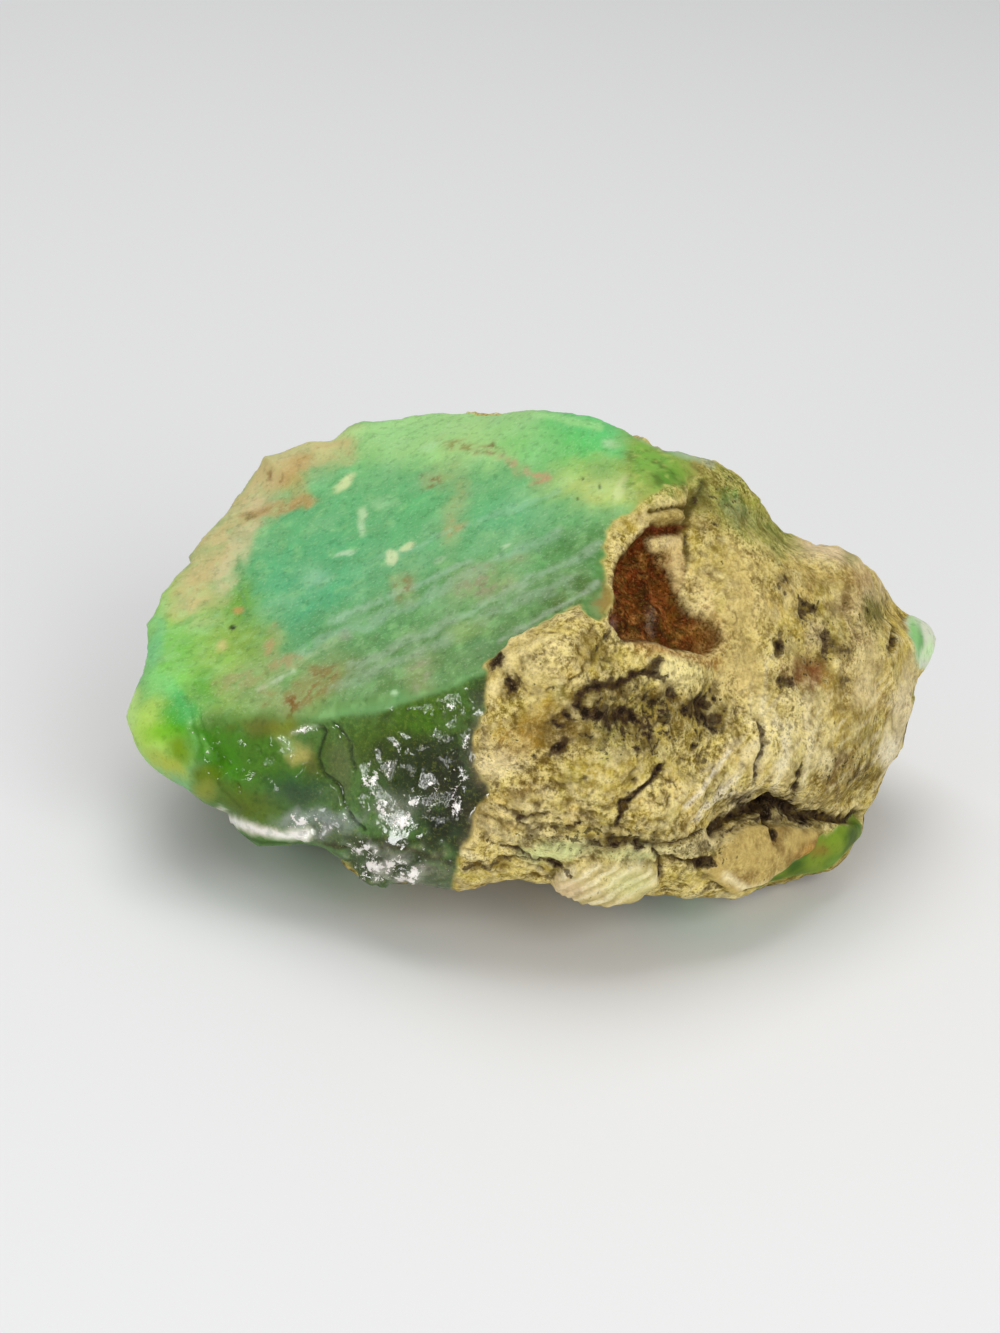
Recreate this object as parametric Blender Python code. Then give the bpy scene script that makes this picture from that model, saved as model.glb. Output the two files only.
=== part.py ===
"""Raw chrysoprase: one loose stone with a sawn green face, a wet broken front-left face
and tan crust over the rest. Metres, +Z up. It rests on its own underside."""
import math

import bmesh
import bpy
import numpy as np
from mathutils import Vector, noise

MM = 0.001
NODE = "chrysoprase_stone"
LENGTH = 75.0 * MM              # longest extent, along X
HEART = (-0.2, -1.0, 18.0)       # point inside the stone all distances are taken from, mm
EDGE_CRISPNESS = 34             # higher gives sharper edges between the faces
BALL_LEVEL = 7                  # icosphere level of the working mesh
TRIANGLES = 9600                # triangles kept in the finished solid
FOOT_DEPTH = 18.0               # from the heart down to the ground contact, mm
FOOT_AT = (2.0, 3.0)           # middle of the flat contact patch, mm
FOOT_RADIUS = 7.0               # the patch is flat inside this radius, mm
HAIR = 0.08                     # corners this near the ground belong to the contact, mm

# face name, bearing of its outward normal (deg from +X towards +Y),
# tilt of that normal above level (deg), distance from the heart (mm), roughness (mm)
FACES = (
    ("sawn_face", 204.4, 58.9, 15.7, 0.05),
    ("front", 270.0, 4.0, 23.0, 0.50),
    ("wet_front_left", 249.0, 8.0, 23.2, 0.22),
    ("left_bevel", 212.0, 38.0, 24.8, 0.20),
    ("left_tip_front", 210.0, -8.0, 39.2, 0.30),
    ("left_tip_back", 172.0, 6.0, 39.4, 0.30),
    ("back_left", 149.0, 0.0, 41.5, 0.45),
    ("back", 92.0, 6.0, 26.2, 0.60),
    ("back_slope", 62.0, 50.0, 23.0, 0.55),
    ("crown_slope", 316.0, 52.0, 21.2, 0.45),
    ("front_right_slope", 314.0, 26.0, 21.4, 0.55),
    ("front_right", 313.0, 0.0, 24.4, 0.55),
    ("right_shoulder", 350.0, 42.0, 25.9, 0.50),
    ("right_end", 352.0, 2.0, 35.6, 0.50),
    ("back_right", 32.0, 4.0, 39.0, 0.55),
    ("lower_front", 280.0, -30.0, 22.6, 0.45),
    ("under_front", 270.0, -60.0, 18.4, 0.55),
    ("under_left", 180.0, -42.0, 28.6, 0.55),
    ("under_back_left", 150.0, -38.0, 27.8, 0.55),
    ("under_front_left", 225.0, -45.0, 26.0, 0.50),
    ("under_front_right", 315.0, -50.0, 24.8, 0.60),
    ("under_right", 0.0, -35.0, 35.2, 0.55),
    ("under_back", 95.0, -40.0, 27.5, 0.60),
)

# lumps stand out, hollows go in: name, middle (mm), reach (mm), height (mm)
LUMPS = (
    ("left_tip", (-36.5, -7.5, 12.0), 4.6, 3.0),
    ("left_rim", (-29.5, -15.0, 10.5), 5.0, 1.4),
    ("right_tip", (36.6, 15.0, 17.0), 2.4, 2.1),
    ("right_bulge", (28.0, 5.0, 29.0), 4.6, 1.5),
    ("valley", (20.5, 3.0, 33.5), 3.2, -1.6),
    ("striped_nub", (7.2, -21.3, 8.2), 3.0, 2.2),
    ("wedge", (18.6, -16.0, 6.0), 3.6, 1.9),
    ("green_foot", (28.5, -6.0, 2.4), 4.5, 2.6),
    ("lower_ledge_left", (-12.0, -20.5, 6.2), 3.5, 2.0),
    ("lower_ledge_right", (-5.0, -21.5, 6.6), 3.5, 1.6),
    ("rust_hollow", (8.8, -9.4, 32.3), 3.2, -2.4),
    ("rust_foot", (12.4, -11.3, 28.0), 2.6, -1.4),
    ("small_ledge", (9.6, -5.2, 37.5), 2.0, 1.0),
    ("chin", (9.9, -15.9, 25.7), 3.5, 1.0),
    ("cheek", (23.5, -9.6, 18.0), 5.0, 1.0),
    ("dark_pit", (-2.8, -23.4, 27.8), 1.5, -0.8),
)

# cracks and creases: name, points along it (mm), half width (mm), depth (mm)
CRACKS = (
    ("big_crack", ((16.0, -19.4, 13.2), (20.5, -15.5, 14.2), (24.1, -12.2, 11.9),
                   (28.4, -8.7, 9.7), (32.7, -4.3, 8.3)), 1.1, 1.8),
    ("big_crack_prong", ((20.5, -15.5, 14.2), (21.6, -16.1, 10.8)), 0.9, 1.2),
    ("slanting_crack", ((5.0, -24.9, 15.0), (7.6, -24.4, 18.4), (10.0, -21.7, 20.5)), 0.9, 0.8),
    ("upper_crease", ((11.2, -2.1, 38.8), (11.8, -6.0, 34.7), (13.0, -8.2, 30.1)), 1.0, 0.8),
)


def unit_normals():
    """Outward unit normals of the faces, one row per face."""
    rows = []
    for _, bearing, tilt, _, _ in FACES:
        b = math.radians(bearing)
        t = math.radians(tilt)
        rows.append((math.cos(t) * math.cos(b), math.cos(t) * math.sin(b), math.sin(t)))
    rows.append((0.0, 0.0, -1.0))
    return np.array(rows)


def working_ball():
    """Unit directions and triangles of a fine icosphere."""
    bm = bmesh.new()
    bmesh.ops.create_icosphere(bm, subdivisions=BALL_LEVEL, radius=1.0)
    directions = np.array([v.co[:] for v in bm.verts])
    triangles = [[v.index for v in f.verts] for f in bm.faces]
    bm.free()
    directions /= np.linalg.norm(directions, axis=1)[:, None]
    return directions, triangles


def bare_body(directions, normals):
    """Points where rays from the heart meet the faces, with local normal and roughness."""
    distances = np.array([f[3] for f in FACES] + [FOOT_DEPTH])
    rough = np.array([f[4] for f in FACES] + [0.5])
    reach = np.maximum(directions @ normals.T, 0.0) / distances
    power = reach ** EDGE_CRISPNESS
    total = power.sum(axis=1)
    points = directions * (total ** (-1.0 / EDGE_CRISPNESS))[:, None]
    share = power / total[:, None]
    outward = share @ normals
    outward /= np.linalg.norm(outward, axis=1)[:, None]
    return points + np.array(HEART), outward, share @ rough


def grain(points, size):
    """Smooth noise of the given grain size (mm) at every point."""
    return np.array([noise.noise(Vector(p) / size) for p in points])


def swell(points, middle, reach):
    """1 at the middle of a lump, falling smoothly to 0 around it."""
    gap = np.linalg.norm(points - np.array(middle), axis=1) / reach
    return np.exp(-0.5 * gap ** 2)


def gap_to_line(points, line):
    """Distance from every point to a line of straight pieces."""
    nearest = np.full(len(points), np.inf)
    for start, end in zip(line[:-1], line[1:]):
        a = np.array(start)
        run = np.array(end) - a
        along = np.clip((points - a) @ run / (run @ run), 0.0, 1.0)
        foot = a + along[:, None] * run
        nearest = np.minimum(nearest, np.linalg.norm(points - foot, axis=1))
    return nearest


def relief(points, rough):
    """Height of the lumps, hollows, cracks and crust over the bare faces, mm."""
    height = rough * (1.6 * grain(points, 9.0) + 1.1 * grain(points + 40.0, 4.0))
    for _, middle, reach, rise in LUMPS:
        height += rise * swell(points, middle, reach)
    for _, line, half_width, depth in CRACKS:
        gap = gap_to_line(points, line) / half_width
        height -= depth * np.exp(-0.5 * gap ** 2)
    return height


def seat(points):
    """Levels the contact patch and lets nothing hang below the ground."""
    floor = HEART[2] - FOOT_DEPTH
    gap = np.hypot(points[:, 0] - FOOT_AT[0], points[:, 1] - FOOT_AT[1])
    under = points[:, 2] < HEART[2] - 0.5 * FOOT_DEPTH
    points[under & (gap < FOOT_RADIUS), 2] = floor
    points[:, 2] = np.maximum(points[:, 2], floor)
    return points


def level(points):
    """Puts every corner within a hair of the ground exactly on it."""
    floor = HEART[2] - FOOT_DEPTH
    points[points[:, 2] < floor + HAIR, 2] = floor
    return points


def place(points):
    """Scales to the real length; origin under the middle of the stone on the ground."""
    low = points.min(axis=0)
    high = points.max(axis=0)
    centre = (low + high) / 2.0
    centre[2] = low[2]
    return (points - centre) * (LENGTH / (high[0] - low[0]))


def lighten(obj):
    """Thins the fine mesh to the triangle budget, keeping its sharp edges."""
    thin = obj.modifiers.new("thin", "DECIMATE")
    thin.ratio = TRIANGLES / len(obj.data.polygons)
    thin.use_collapse_triangulate = True
    bpy.context.view_layer.objects.active = obj
    obj.select_set(True)
    bpy.ops.object.modifier_apply(modifier="thin")


def stone_material():
    mat = bpy.data.materials.new("green_stone")
    mat.use_nodes = True
    shader = mat.node_tree.nodes["Principled BSDF"]
    shader.inputs["Base Color"].default_value = (0.26, 0.42, 0.17, 1.0)
    shader.inputs["Roughness"].default_value = 0.45
    return mat


def make_stone():
    directions, triangles = working_ball()
    points, outward, rough = bare_body(directions, unit_normals())
    points = seat(points + outward * relief(points, rough)[:, None])
    mesh = bpy.data.meshes.new(NODE)
    mesh.from_pydata(points.tolist(), [], triangles)
    mesh.materials.append(stone_material())
    obj = bpy.data.objects.new(NODE, mesh)
    bpy.context.scene.collection.objects.link(obj)
    lighten(obj)
    corners = np.array([v.co[:] for v in mesh.vertices])
    corners = place(level(corners))
    mesh.vertices.foreach_set("co", corners.ravel())
    mesh.update()
    return obj


for old in list(bpy.data.objects):
    bpy.data.objects.remove(old, do_unlink=True)
make_stone()
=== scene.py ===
"""A loose raw chrysoprase: sawn green face, wet broken front left, tan crust elsewhere.

Lengths on the stone are millimetres until the mesh is written. Marks on the front are placed by
where they fall in the 1000 x 1333 view, and every other mark by its place on the stone. A line or
an outline is written x, y, x, y ... in that view, and a mark as x, y and its two radii.
"""

import math

import bmesh
import bpy
import numpy as np
from mathutils import Matrix, Vector
from mathutils.bvhtree import BVHTree


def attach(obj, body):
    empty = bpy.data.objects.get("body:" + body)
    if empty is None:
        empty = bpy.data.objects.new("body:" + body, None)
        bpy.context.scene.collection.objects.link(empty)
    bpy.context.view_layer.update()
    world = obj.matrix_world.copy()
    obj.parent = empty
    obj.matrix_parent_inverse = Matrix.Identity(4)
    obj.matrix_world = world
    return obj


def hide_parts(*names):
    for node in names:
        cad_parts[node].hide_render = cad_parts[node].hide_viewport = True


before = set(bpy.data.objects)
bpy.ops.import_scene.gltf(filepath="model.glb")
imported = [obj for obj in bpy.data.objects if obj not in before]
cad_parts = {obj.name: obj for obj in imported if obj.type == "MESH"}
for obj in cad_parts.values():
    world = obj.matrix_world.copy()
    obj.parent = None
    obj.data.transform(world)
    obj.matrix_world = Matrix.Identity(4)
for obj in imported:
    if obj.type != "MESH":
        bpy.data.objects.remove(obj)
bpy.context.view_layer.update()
NODE = "chrysoprase_stone"
MM = 0.001

# view
VIEW_SIZE = (1000.0, 1333.0)
CAMERA_AT = np.array((-4.1, -210.1, 123.9))      # mm
CAMERA_DOWN = math.radians(27.0)
CAMERA_ROLL = math.radians(5.46)
FOCAL = 2515.0                                   # in view units
NEAREST_SEEN = 0.005                             # m

# light: lamps by name, place (m), side (m) and power (W)
LOW_LAMP = np.array((-270.0, -385.0, 50.0))      # mm, front left, mirrored by the chips
SHADED_FLOOR = np.array((-330.0, -250.0, -140.0))
LAMPS = (
    ("overhead", (-0.10, 0.15, 0.85), 0.60, 3.8),
    ("front_fill", (0.30, -0.45, 0.35), 0.45, 2.2),
    ("front_left", tuple(LOW_LAMP * MM), 0.066, 0.60),
)
STONE_MIDDLE = Vector((0.0, 0.0, 0.015))         # m
SKY_COLOUR, SKY_STRENGTH = (0.98, 0.99, 1.0, 1.0), 0.38
FLOOR_HALF = 4.0                                 # m

# skin
COARSE = 1.18                                    # first grid of the skin, mm
JUST_FACING = 0.02                               # cosine above which a face is seen
SAWN_NORMAL = np.array((-0.4706, -0.2134, 0.8563))
RIM_MIDDLE = np.array((530.0, 660.0))            # in the view
RIM_SECTORS = 72
BOW_MIDDLE = np.array((610.0, 680.0))            # in the view; the crust's layers bow round it
BOW_REACH = 170.0


# ---- small maths
def smoothstep(low, high, value):
    t = np.clip((value - low) / (high - low), 0.0, 1.0)
    return t * t * (3.0 - 2.0 * t)


def linear(colour):
    """sRGB hex text to linear RGB."""
    parts = np.array([int(colour[i:i + 2], 16) for i in (1, 3, 5)]) / 255.0
    return np.where(parts <= 0.04045, parts / 12.92, ((parts + 0.055) / 1.055) ** 2.4)


_draw = np.random.default_rng(7)
_SHUFFLE = _draw.permutation(256)
_SLOPES = _draw.normal(size=(256, 3))
_SLOPES /= np.linalg.norm(_SLOPES, axis=1)[:, None]
_CORNERS = [(i, j, k) for i in (0, 1) for j in (0, 1) for k in (0, 1)]


def grain(points, size, shift=0.0):
    """Smooth noise, about -1 to 1, with the given grain size."""
    q = points / size + shift
    cell = np.floor(q).astype(int)
    part = q - cell
    ease = part * part * part * (part * (part * 6.0 - 15.0) + 10.0)
    total = np.zeros(len(points))
    for corner in _CORNERS:
        c = cell + corner
        h = _SHUFFLE[c[:, 0] & 255]
        h = _SHUFFLE[(h + c[:, 1]) & 255]
        h = _SHUFFLE[(h + c[:, 2]) & 255]
        pull = (_SLOPES[h] * (part - corner)).sum(axis=1)
        total += pull * np.where(corner, ease, 1.0 - ease).prod(axis=1)
    return total * 1.7


def layered(points, size, shift=0.0, layers=3):
    """Noise with finer and weaker layers."""
    total = 0.0
    for n in range(layers):
        total = total + grain(points, size / 2.1 ** n, shift + 3.7 * n) * 0.5 ** n
    return total


# ---- view
def view_axes():
    ahead = np.array((0.0, math.cos(CAMERA_DOWN), -math.sin(CAMERA_DOWN)))
    level_right = np.array((1.0, 0.0, 0.0))
    level_up = np.cross(level_right, ahead)
    c, s = math.cos(CAMERA_ROLL), math.sin(CAMERA_ROLL)
    return level_right * c + level_up * s, level_up * c - level_right * s, ahead


def in_view(points):
    """Where points (mm) fall in the view."""
    right, up, ahead = view_axes()
    away = points - CAMERA_AT
    depth = away @ ahead
    x = VIEW_SIZE[0] / 2.0 + FOCAL * (away @ right) / depth
    y = VIEW_SIZE[1] / 2.0 - FOCAL * (away @ up) / depth
    return np.stack([x, y], axis=1)


def add_object(name, data):
    thing = bpy.data.objects.new(name, data)
    bpy.context.scene.collection.objects.link(thing)
    return thing


def add_camera():
    data = bpy.data.cameras.new("view")
    data.lens = FOCAL / VIEW_SIZE[1] * data.sensor_width
    data.clip_start = NEAREST_SEEN
    camera = add_object("view", data)
    right, up, ahead = view_axes()
    turn = Matrix((right, up, -ahead)).transposed()
    camera.matrix_world = Matrix.Translation(Vector(CAMERA_AT) * MM) @ turn.to_4x4()
    bpy.context.scene.camera = camera


# ---- skin mesh
def coarse_skin(cad):
    """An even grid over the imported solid, as a bmesh in millimetres."""
    mesh = cad.data.copy()
    mesh.transform(Matrix.Scale(1.0 / MM, 4))
    shell = add_object("shell", mesh)
    grid = shell.modifiers.new("grid", "REMESH")
    grid.mode = "VOXEL"
    grid.voxel_size = COARSE
    ready = shell.evaluated_get(bpy.context.evaluated_depsgraph_get())
    bm = bmesh.new()
    bm.from_mesh(ready.to_mesh())
    bpy.data.objects.remove(shell)
    bmesh.ops.triangulate(bm, faces=bm.faces[:])
    return bm


def split(bm, edges):
    """Cuts the edges in two and makes triangles again."""
    bmesh.ops.subdivide_edges(bm, edges=edges, cuts=1, use_grid_fill=True)
    bmesh.ops.triangulate(bm, faces=[f for f in bm.faces if len(f.verts) > 3])


def seen(bm):
    """Edges of the side the camera sees."""
    eye = Vector(CAMERA_AT)
    bm.normal_update()
    picked = set()
    for face in bm.faces:
        middle = face.calc_center_median()
        if face.normal.dot((eye - middle).normalized()) > JUST_FACING:
            picked.update(face.edges)
    return list(picked)


def relax(points, edges, rounds, pull=0.5):
    """Moves every corner towards the mean of its neighbours."""
    count = len(points)
    degree = np.bincount(edges.ravel(), minlength=count)[:, None]
    for _ in range(rounds):
        total = np.zeros_like(points)
        for axis in range(3):
            total[:, axis] = (np.bincount(edges[:, 0], points[edges[:, 1], axis], count)
                              + np.bincount(edges[:, 1], points[edges[:, 0], axis], count))
        points = points + pull * (total / degree - points)
    return points


def arrays(bm):
    bm.verts.index_update()
    points = np.array([v.co[:] for v in bm.verts])
    edges = np.array([[v.index for v in e.verts] for e in bm.edges])
    return points, edges


def write_back(bm, points):
    for vert, place in zip(bm.verts, points):
        vert.co = place


def settle(bm, tree, rounds):
    """Lays the corners on the solid, then takes its facets out."""
    points, edges = arrays(bm)
    points = np.array([tree.find_nearest(Vector(p))[0][:] for p in points])
    write_back(bm, relax(points, edges, rounds))


def fine_skin(cad):
    """Dense closed mesh on the solid, finest on the seen side."""
    solid = BVHTree.FromPolygons([v.co * (1.0 / MM) for v in cad.data.vertices],
                                 [p.vertices[:] for p in cad.data.polygons])
    bm = coarse_skin(cad)
    settle(bm, solid, 1)
    split(bm, bm.edges[:])
    settle(bm, solid, 4)
    split(bm, seen(bm))
    points, edges = arrays(bm)
    write_back(bm, relax(points, edges, 3))
    return bm


def normals(points, triangles):
    a, b, c = (points[triangles[:, i]] for i in range(3))
    across = np.cross(b - a, c - a)
    out = np.zeros_like(points)
    for i in range(3):
        for axis in range(3):
            out[:, axis] += np.bincount(triangles[:, i], across[:, axis], len(points))
    return out / np.linalg.norm(out, axis=1)[:, None]


# how far the rim of the front stands out (mm), by the angle round its middle, clockwise from the right
RIM = (
    (124, 0.3), (128, 0), (132, -0.3), (138, -0.2), (141, 0.2), (143, 1.1), (145.5, 2.3), (150, 2),
    (151.5, 1.5), (153, 0.5), (156, 1), (162, 1), (167, 0.8), (172, 0.7), (175, 0), (178, -0.2), (180, 0.4),
    (184, 1.2), (190, 1.4), (193, 1.4), (196, 0.9), (200, 0.8), (203, 0.2), (207, 0), (210, -0.3),
    (213, 0.2), (215, 0.7), (217.5, 1.6), (220, 1.1), (225, 0.7), (228, 0.2), (232, 0.8), (235, 0.8),
    (238, 0.1), (242, -0.4), (247, -0.7), (252, -0.9), (258, -1), (261, -0.6), (264, -0.1), (270, 0.5),
    (275, 0.4), (280, 0.7), (285, 0.4), (290, -0.2), (295, -0.7), (300, -1.3), (303, -1.2), (306, -0.6),
    (310, -0.5), (313, 0), (320, 0.1), (325, 0), (328, -0.9), (332, -1.7), (335, -2.3), (338, -2.1),
    (340.5, -0.9), (343, 0.2), (346, 0.6), (350, 0.4), (353, 0), (355, 0.4), (357, 0.9), (359, 0.4),
    (361, 0), (365, -0.8), (370, -1.5), (375, -1.5), (380, -1.4), (385, -1), (388, 0),
)


def push_rim(points):
    """Moves the skin near the rim of the front in or out by the RIM table."""
    right, up, _ = view_axes()
    away = in_view(points) - RIM_MIDDLE
    reach = np.hypot(away[:, 0], away[:, 1])
    turn = np.degrees(np.arctan2(away[:, 1], away[:, 0])) % 360.0
    sector = 360.0 / RIM_SECTORS
    furthest = np.zeros(RIM_SECTORS)
    np.maximum.at(furthest, (turn / sector).astype(int) % RIM_SECTORS, reach)
    middle = (np.arange(RIM_SECTORS) + 0.5) * sector
    near = smoothstep(0.80, 0.99, reach / np.interp(turn, middle, furthest, period=360.0))
    angles, pushes = np.array(RIM).T
    push = near * np.interp(turn, angles, pushes, period=360.0) / reach
    return points + (push * away[:, 0])[:, None] * right - (push * away[:, 1])[:, None] * up


skin = fine_skin(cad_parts[NODE])
P, EDGES = arrays(skin)
P = push_rim(P)
T = np.array([[v.index for v in f.verts] for f in skin.faces])
N = normals(P, T)
UV = in_view(P)
TO_EYE = CAMERA_AT - P
TO_EYE /= np.linalg.norm(TO_EYE, axis=1)[:, None]
FRONT = smoothstep(0.0, 0.12, (N * TO_EYE).sum(axis=1))
UNSEEN = 1.0 - FRONT
WARP = np.stack([layered(P, 2.6), layered(P, 2.6, 31.0)], axis=1)
RAG = layered(P, 1.1, 40.0)


# ---- marks
def rightward(start, end):
    """0 left of start in the view, 1 right of end."""
    return smoothstep(start, end, UV[:, 0])


def downward(start, end):
    """0 above start in the view, 1 below end."""
    return smoothstep(start, end, UV[:, 1])


def from_line(line, warp=0.0):
    """Distance in the view from every corner to a line of straight pieces."""
    spots = UV + WARP * warp
    nearest = np.full(len(P), 1e9)
    ends = np.reshape(line, (-1, 2)).astype(float)
    for start, end in zip(ends[:-1], ends[1:]):
        run = end - start
        along = np.clip((spots - start) @ run / (run @ run), 0.0, 1.0)
        gap = spots - start - along[:, None] * run
        nearest = np.minimum(nearest, np.hypot(gap[:, 0], gap[:, 1]))
    return nearest


def inside(outline, soft, warp=0.0):
    """1 inside an outline in the view, 0 outside, with a soft border."""
    x, y = (UV + WARP * warp).T
    within = np.zeros(len(P), bool)
    ring = outline + outline[:2]
    for x0, y0, x1, y1 in zip(ring[0:-2:2], ring[1:-2:2], ring[2::2], ring[3::2]):
        if y0 != y1:
            crossing = (y0 > y) != (y1 > y)
            within ^= crossing & (x < (x1 - x0) * (y - y0) / (y1 - y0) + x0)
    gap = from_line(ring, warp)
    return smoothstep(-soft, soft, np.where(within, gap, -gap))


def blot(x, y, rx, ry, turn=0.0, warp=5.0, soft=0.8, ragged=0.0):
    """1 in the middle of an oval in the view, fading to 0 at its rim."""
    spots = UV + WARP * warp - np.array((x, y))
    c, s = math.cos(math.radians(turn)), math.sin(math.radians(turn))
    reach = np.hypot((spots[:, 0] * c + spots[:, 1] * s) / rx, (spots[:, 1] * c - spots[:, 0] * s) / ry)
    reach = reach + ragged * RAG * np.clip(reach, 0.0, 1.0)
    return 1.0 - smoothstep(1.0 - soft, 1.0 + soft * 0.6, reach)


def stripe(line, width, warp=2.0, soft=0.8, ragged=0.0):
    """1 along a line in the view, fading to 0 at its sides."""
    gap = from_line(line, warp)
    gap = gap + ragged * RAG * np.clip(gap, 0.25 * width, width)
    return 1.0 - smoothstep(width * (1.0 - soft), width * (1.0 + soft * 0.5), gap)


def drawn_out(across, along, shift):
    """Noise over two stretched distances."""
    return layered(np.stack([across, along, np.zeros(len(P))], axis=1), 1.0, shift)


def bedding(short, long, shift):
    """Noise drawn out along the crust's layers, which bow under the front (view units)."""
    x, y = (UV - BOW_MIDDLE).T
    reach = np.hypot(x, y) + 10.0 * grain(P, 6.0, 12.0)
    return drawn_out(reach / short, np.arctan2(y, x) * BOW_REACH / long, shift)


# ---- outlines of the faces
CRUST_OUTLINE = (641, 503, 622, 520, 609, 540, 606, 559, 611, 575, 612, 600, 610, 618, 598, 623, 586, 618,
                 578, 606, 568, 608, 537, 632, 510, 650, 488, 663, 485, 684, 488, 705, 482, 724, 476, 739,
                 480, 767, 489, 792, 474, 824, 458, 862, 452, 900, 560, 930, 660, 940, 760, 930, 900, 900,
                 980, 760, 980, 560, 870, 520, 800, 500, 745, 455, 700, 430, 640, 430, 628, 470)
MOSS_OUTLINE = (628, 430, 705, 430, 760, 470, 800, 545, 770, 560, 740, 540, 712, 520, 700, 512, 692, 492,
                676, 498, 655, 505, 641, 505, 628, 480)
MOSS_CORE = (615, 420, 690, 438, 702, 468, 688, 488, 662, 494, 642, 504, 625, 495)
WET_OUTLINE = (215, 716, 250, 720, 290, 717, 317, 719, 352, 716, 384, 713, 429, 695, 461, 684, 497, 668,
               500, 700, 491, 739, 494, 767, 502, 792, 488, 824, 470, 895, 340, 900, 250, 870, 190, 820,
               205, 770, 200, 735)
TIP_OUTLINE = (150, 655, 166, 668, 190, 700, 215, 716, 210, 760, 195, 830, 90, 760, 100, 690)
RUST_OUTLINE = (684, 525, 655, 528, 629, 546, 617, 571, 614, 601, 611, 624, 629, 641, 655, 641, 684, 650,
                709, 657, 721, 640, 712, 620, 693, 612, 681, 595, 682, 562)
TAN_OUTLINE = (650, 541, 661, 537, 684, 534, 684, 560, 682, 586, 677, 592, 673, 584, 670, 567, 663, 556,
               654, 552)
NUB_OUTLINE = (553, 880, 562, 866, 585, 862, 640, 862, 657, 868, 657, 880, 640, 892, 610, 900, 575, 896)
WEDGE_OUTLINE = (703, 868, 722, 846, 745, 827, 776, 826, 822, 832, 800, 850, 788, 858, 764, 878, 732, 893)
FOOT_OUTLINE = (764, 880, 790, 862, 815, 838, 862, 815, 880, 830, 860, 900, 800, 920, 745, 905)
BULB_OUTLINE = (905, 622, 920, 610, 945, 630, 940, 670, 915, 668)

# finishes, 0 to 1 at every corner of the skin
SAWN = smoothstep(0.86, 0.965, N @ SAWN_NORMAL) * FRONT
FOOT = inside(FOOT_OUTLINE, 4.0, 5.0)
BULB = inside(BULB_OUTLINE, 4.0, 3.0)
MOSS = inside(MOSS_OUTLINE, 15.0, 9.0) * FRONT
WET = inside(WET_OUTLINE, 4.0 + 14.0 * (1.0 - rightward(270.0, 330.0)), 3.0) * FRONT
TIP = inside(TIP_OUTLINE, 8.0, 4.0) * FRONT
RUST = inside(RUST_OUTLINE, 3.0, 3.0) * FRONT
NUB = inside(NUB_OUTLINE, 3.0, 1.5) * FRONT
WEDGE = inside(WEDGE_OUTLINE, 3.0, 1.5) * FRONT
UNDER = UNSEEN * smoothstep(0.25, 0.65, -N[:, 2])

# where the crust has broken off the unseen sides: below 0 is bare stone
SAWN_DEPTH = (P @ SAWN_NORMAL).max() - P @ SAWN_NORMAL
COVER = layered(P, 19.0, 5.0, 5) + 0.30 + 0.004 * P[:, 0] - 1.5 * (1.0 - smoothstep(0.8, 3.2, SAWN_DEPTH))
HIDDEN_CRUST = smoothstep(-0.02, 0.02, COVER)
GREEN_BITS = np.maximum(np.maximum(FOOT, BULB), 0.75 * inside(MOSS_CORE, 9.0, 8.0))
CRUST = FRONT * inside(CRUST_OUTLINE, 3.5, 5.0) * (1.0 - GREEN_BITS) + UNSEEN * HIDDEN_CRUST
SEEN_CRUST = FRONT * CRUST
BARE = UNSEEN * (1.0 - HIDDEN_CRUST)
FOOT, BULB = FOOT * FRONT, BULB * FRONT

CREASES = np.exp(-(layered(P, 4.5, 14.0) / 0.06) ** 2) * smoothstep(-0.3, 0.4, grain(P, 9.0, 18.0))
BEDDED = smoothstep(80.0, 130.0, np.hypot(*(UV - BOW_MIDDLE).T))
BEDDED = BEDDED * smoothstep(700.0, 790.0, UV[:, 1] + 0.12 * UV[:, 0])
BEDDED = BEDDED * (1.0 - 0.7 * rightward(790.0, 860.0))

# ---- relief, mm
# cracks that are both cut and painted
RIFT = (319, 724, 325, 732, 322, 744, 319, 757, 324, 773, 338, 786, 344, 805, 354, 821, 365, 829)
RIFT_BRANCH = (333, 722, 343, 732, 351, 744, 350, 757, 354, 770)
TIP_CRACK = (186, 697, 192, 720, 200, 745)
TIP_HAIRLINE = (200, 715, 206, 735, 209, 755)
LEDGE_CRACK = (501, 806, 525, 816, 548, 812)
WEDGE_CRACK = (664, 857, 690, 862, 712, 858)
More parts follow.
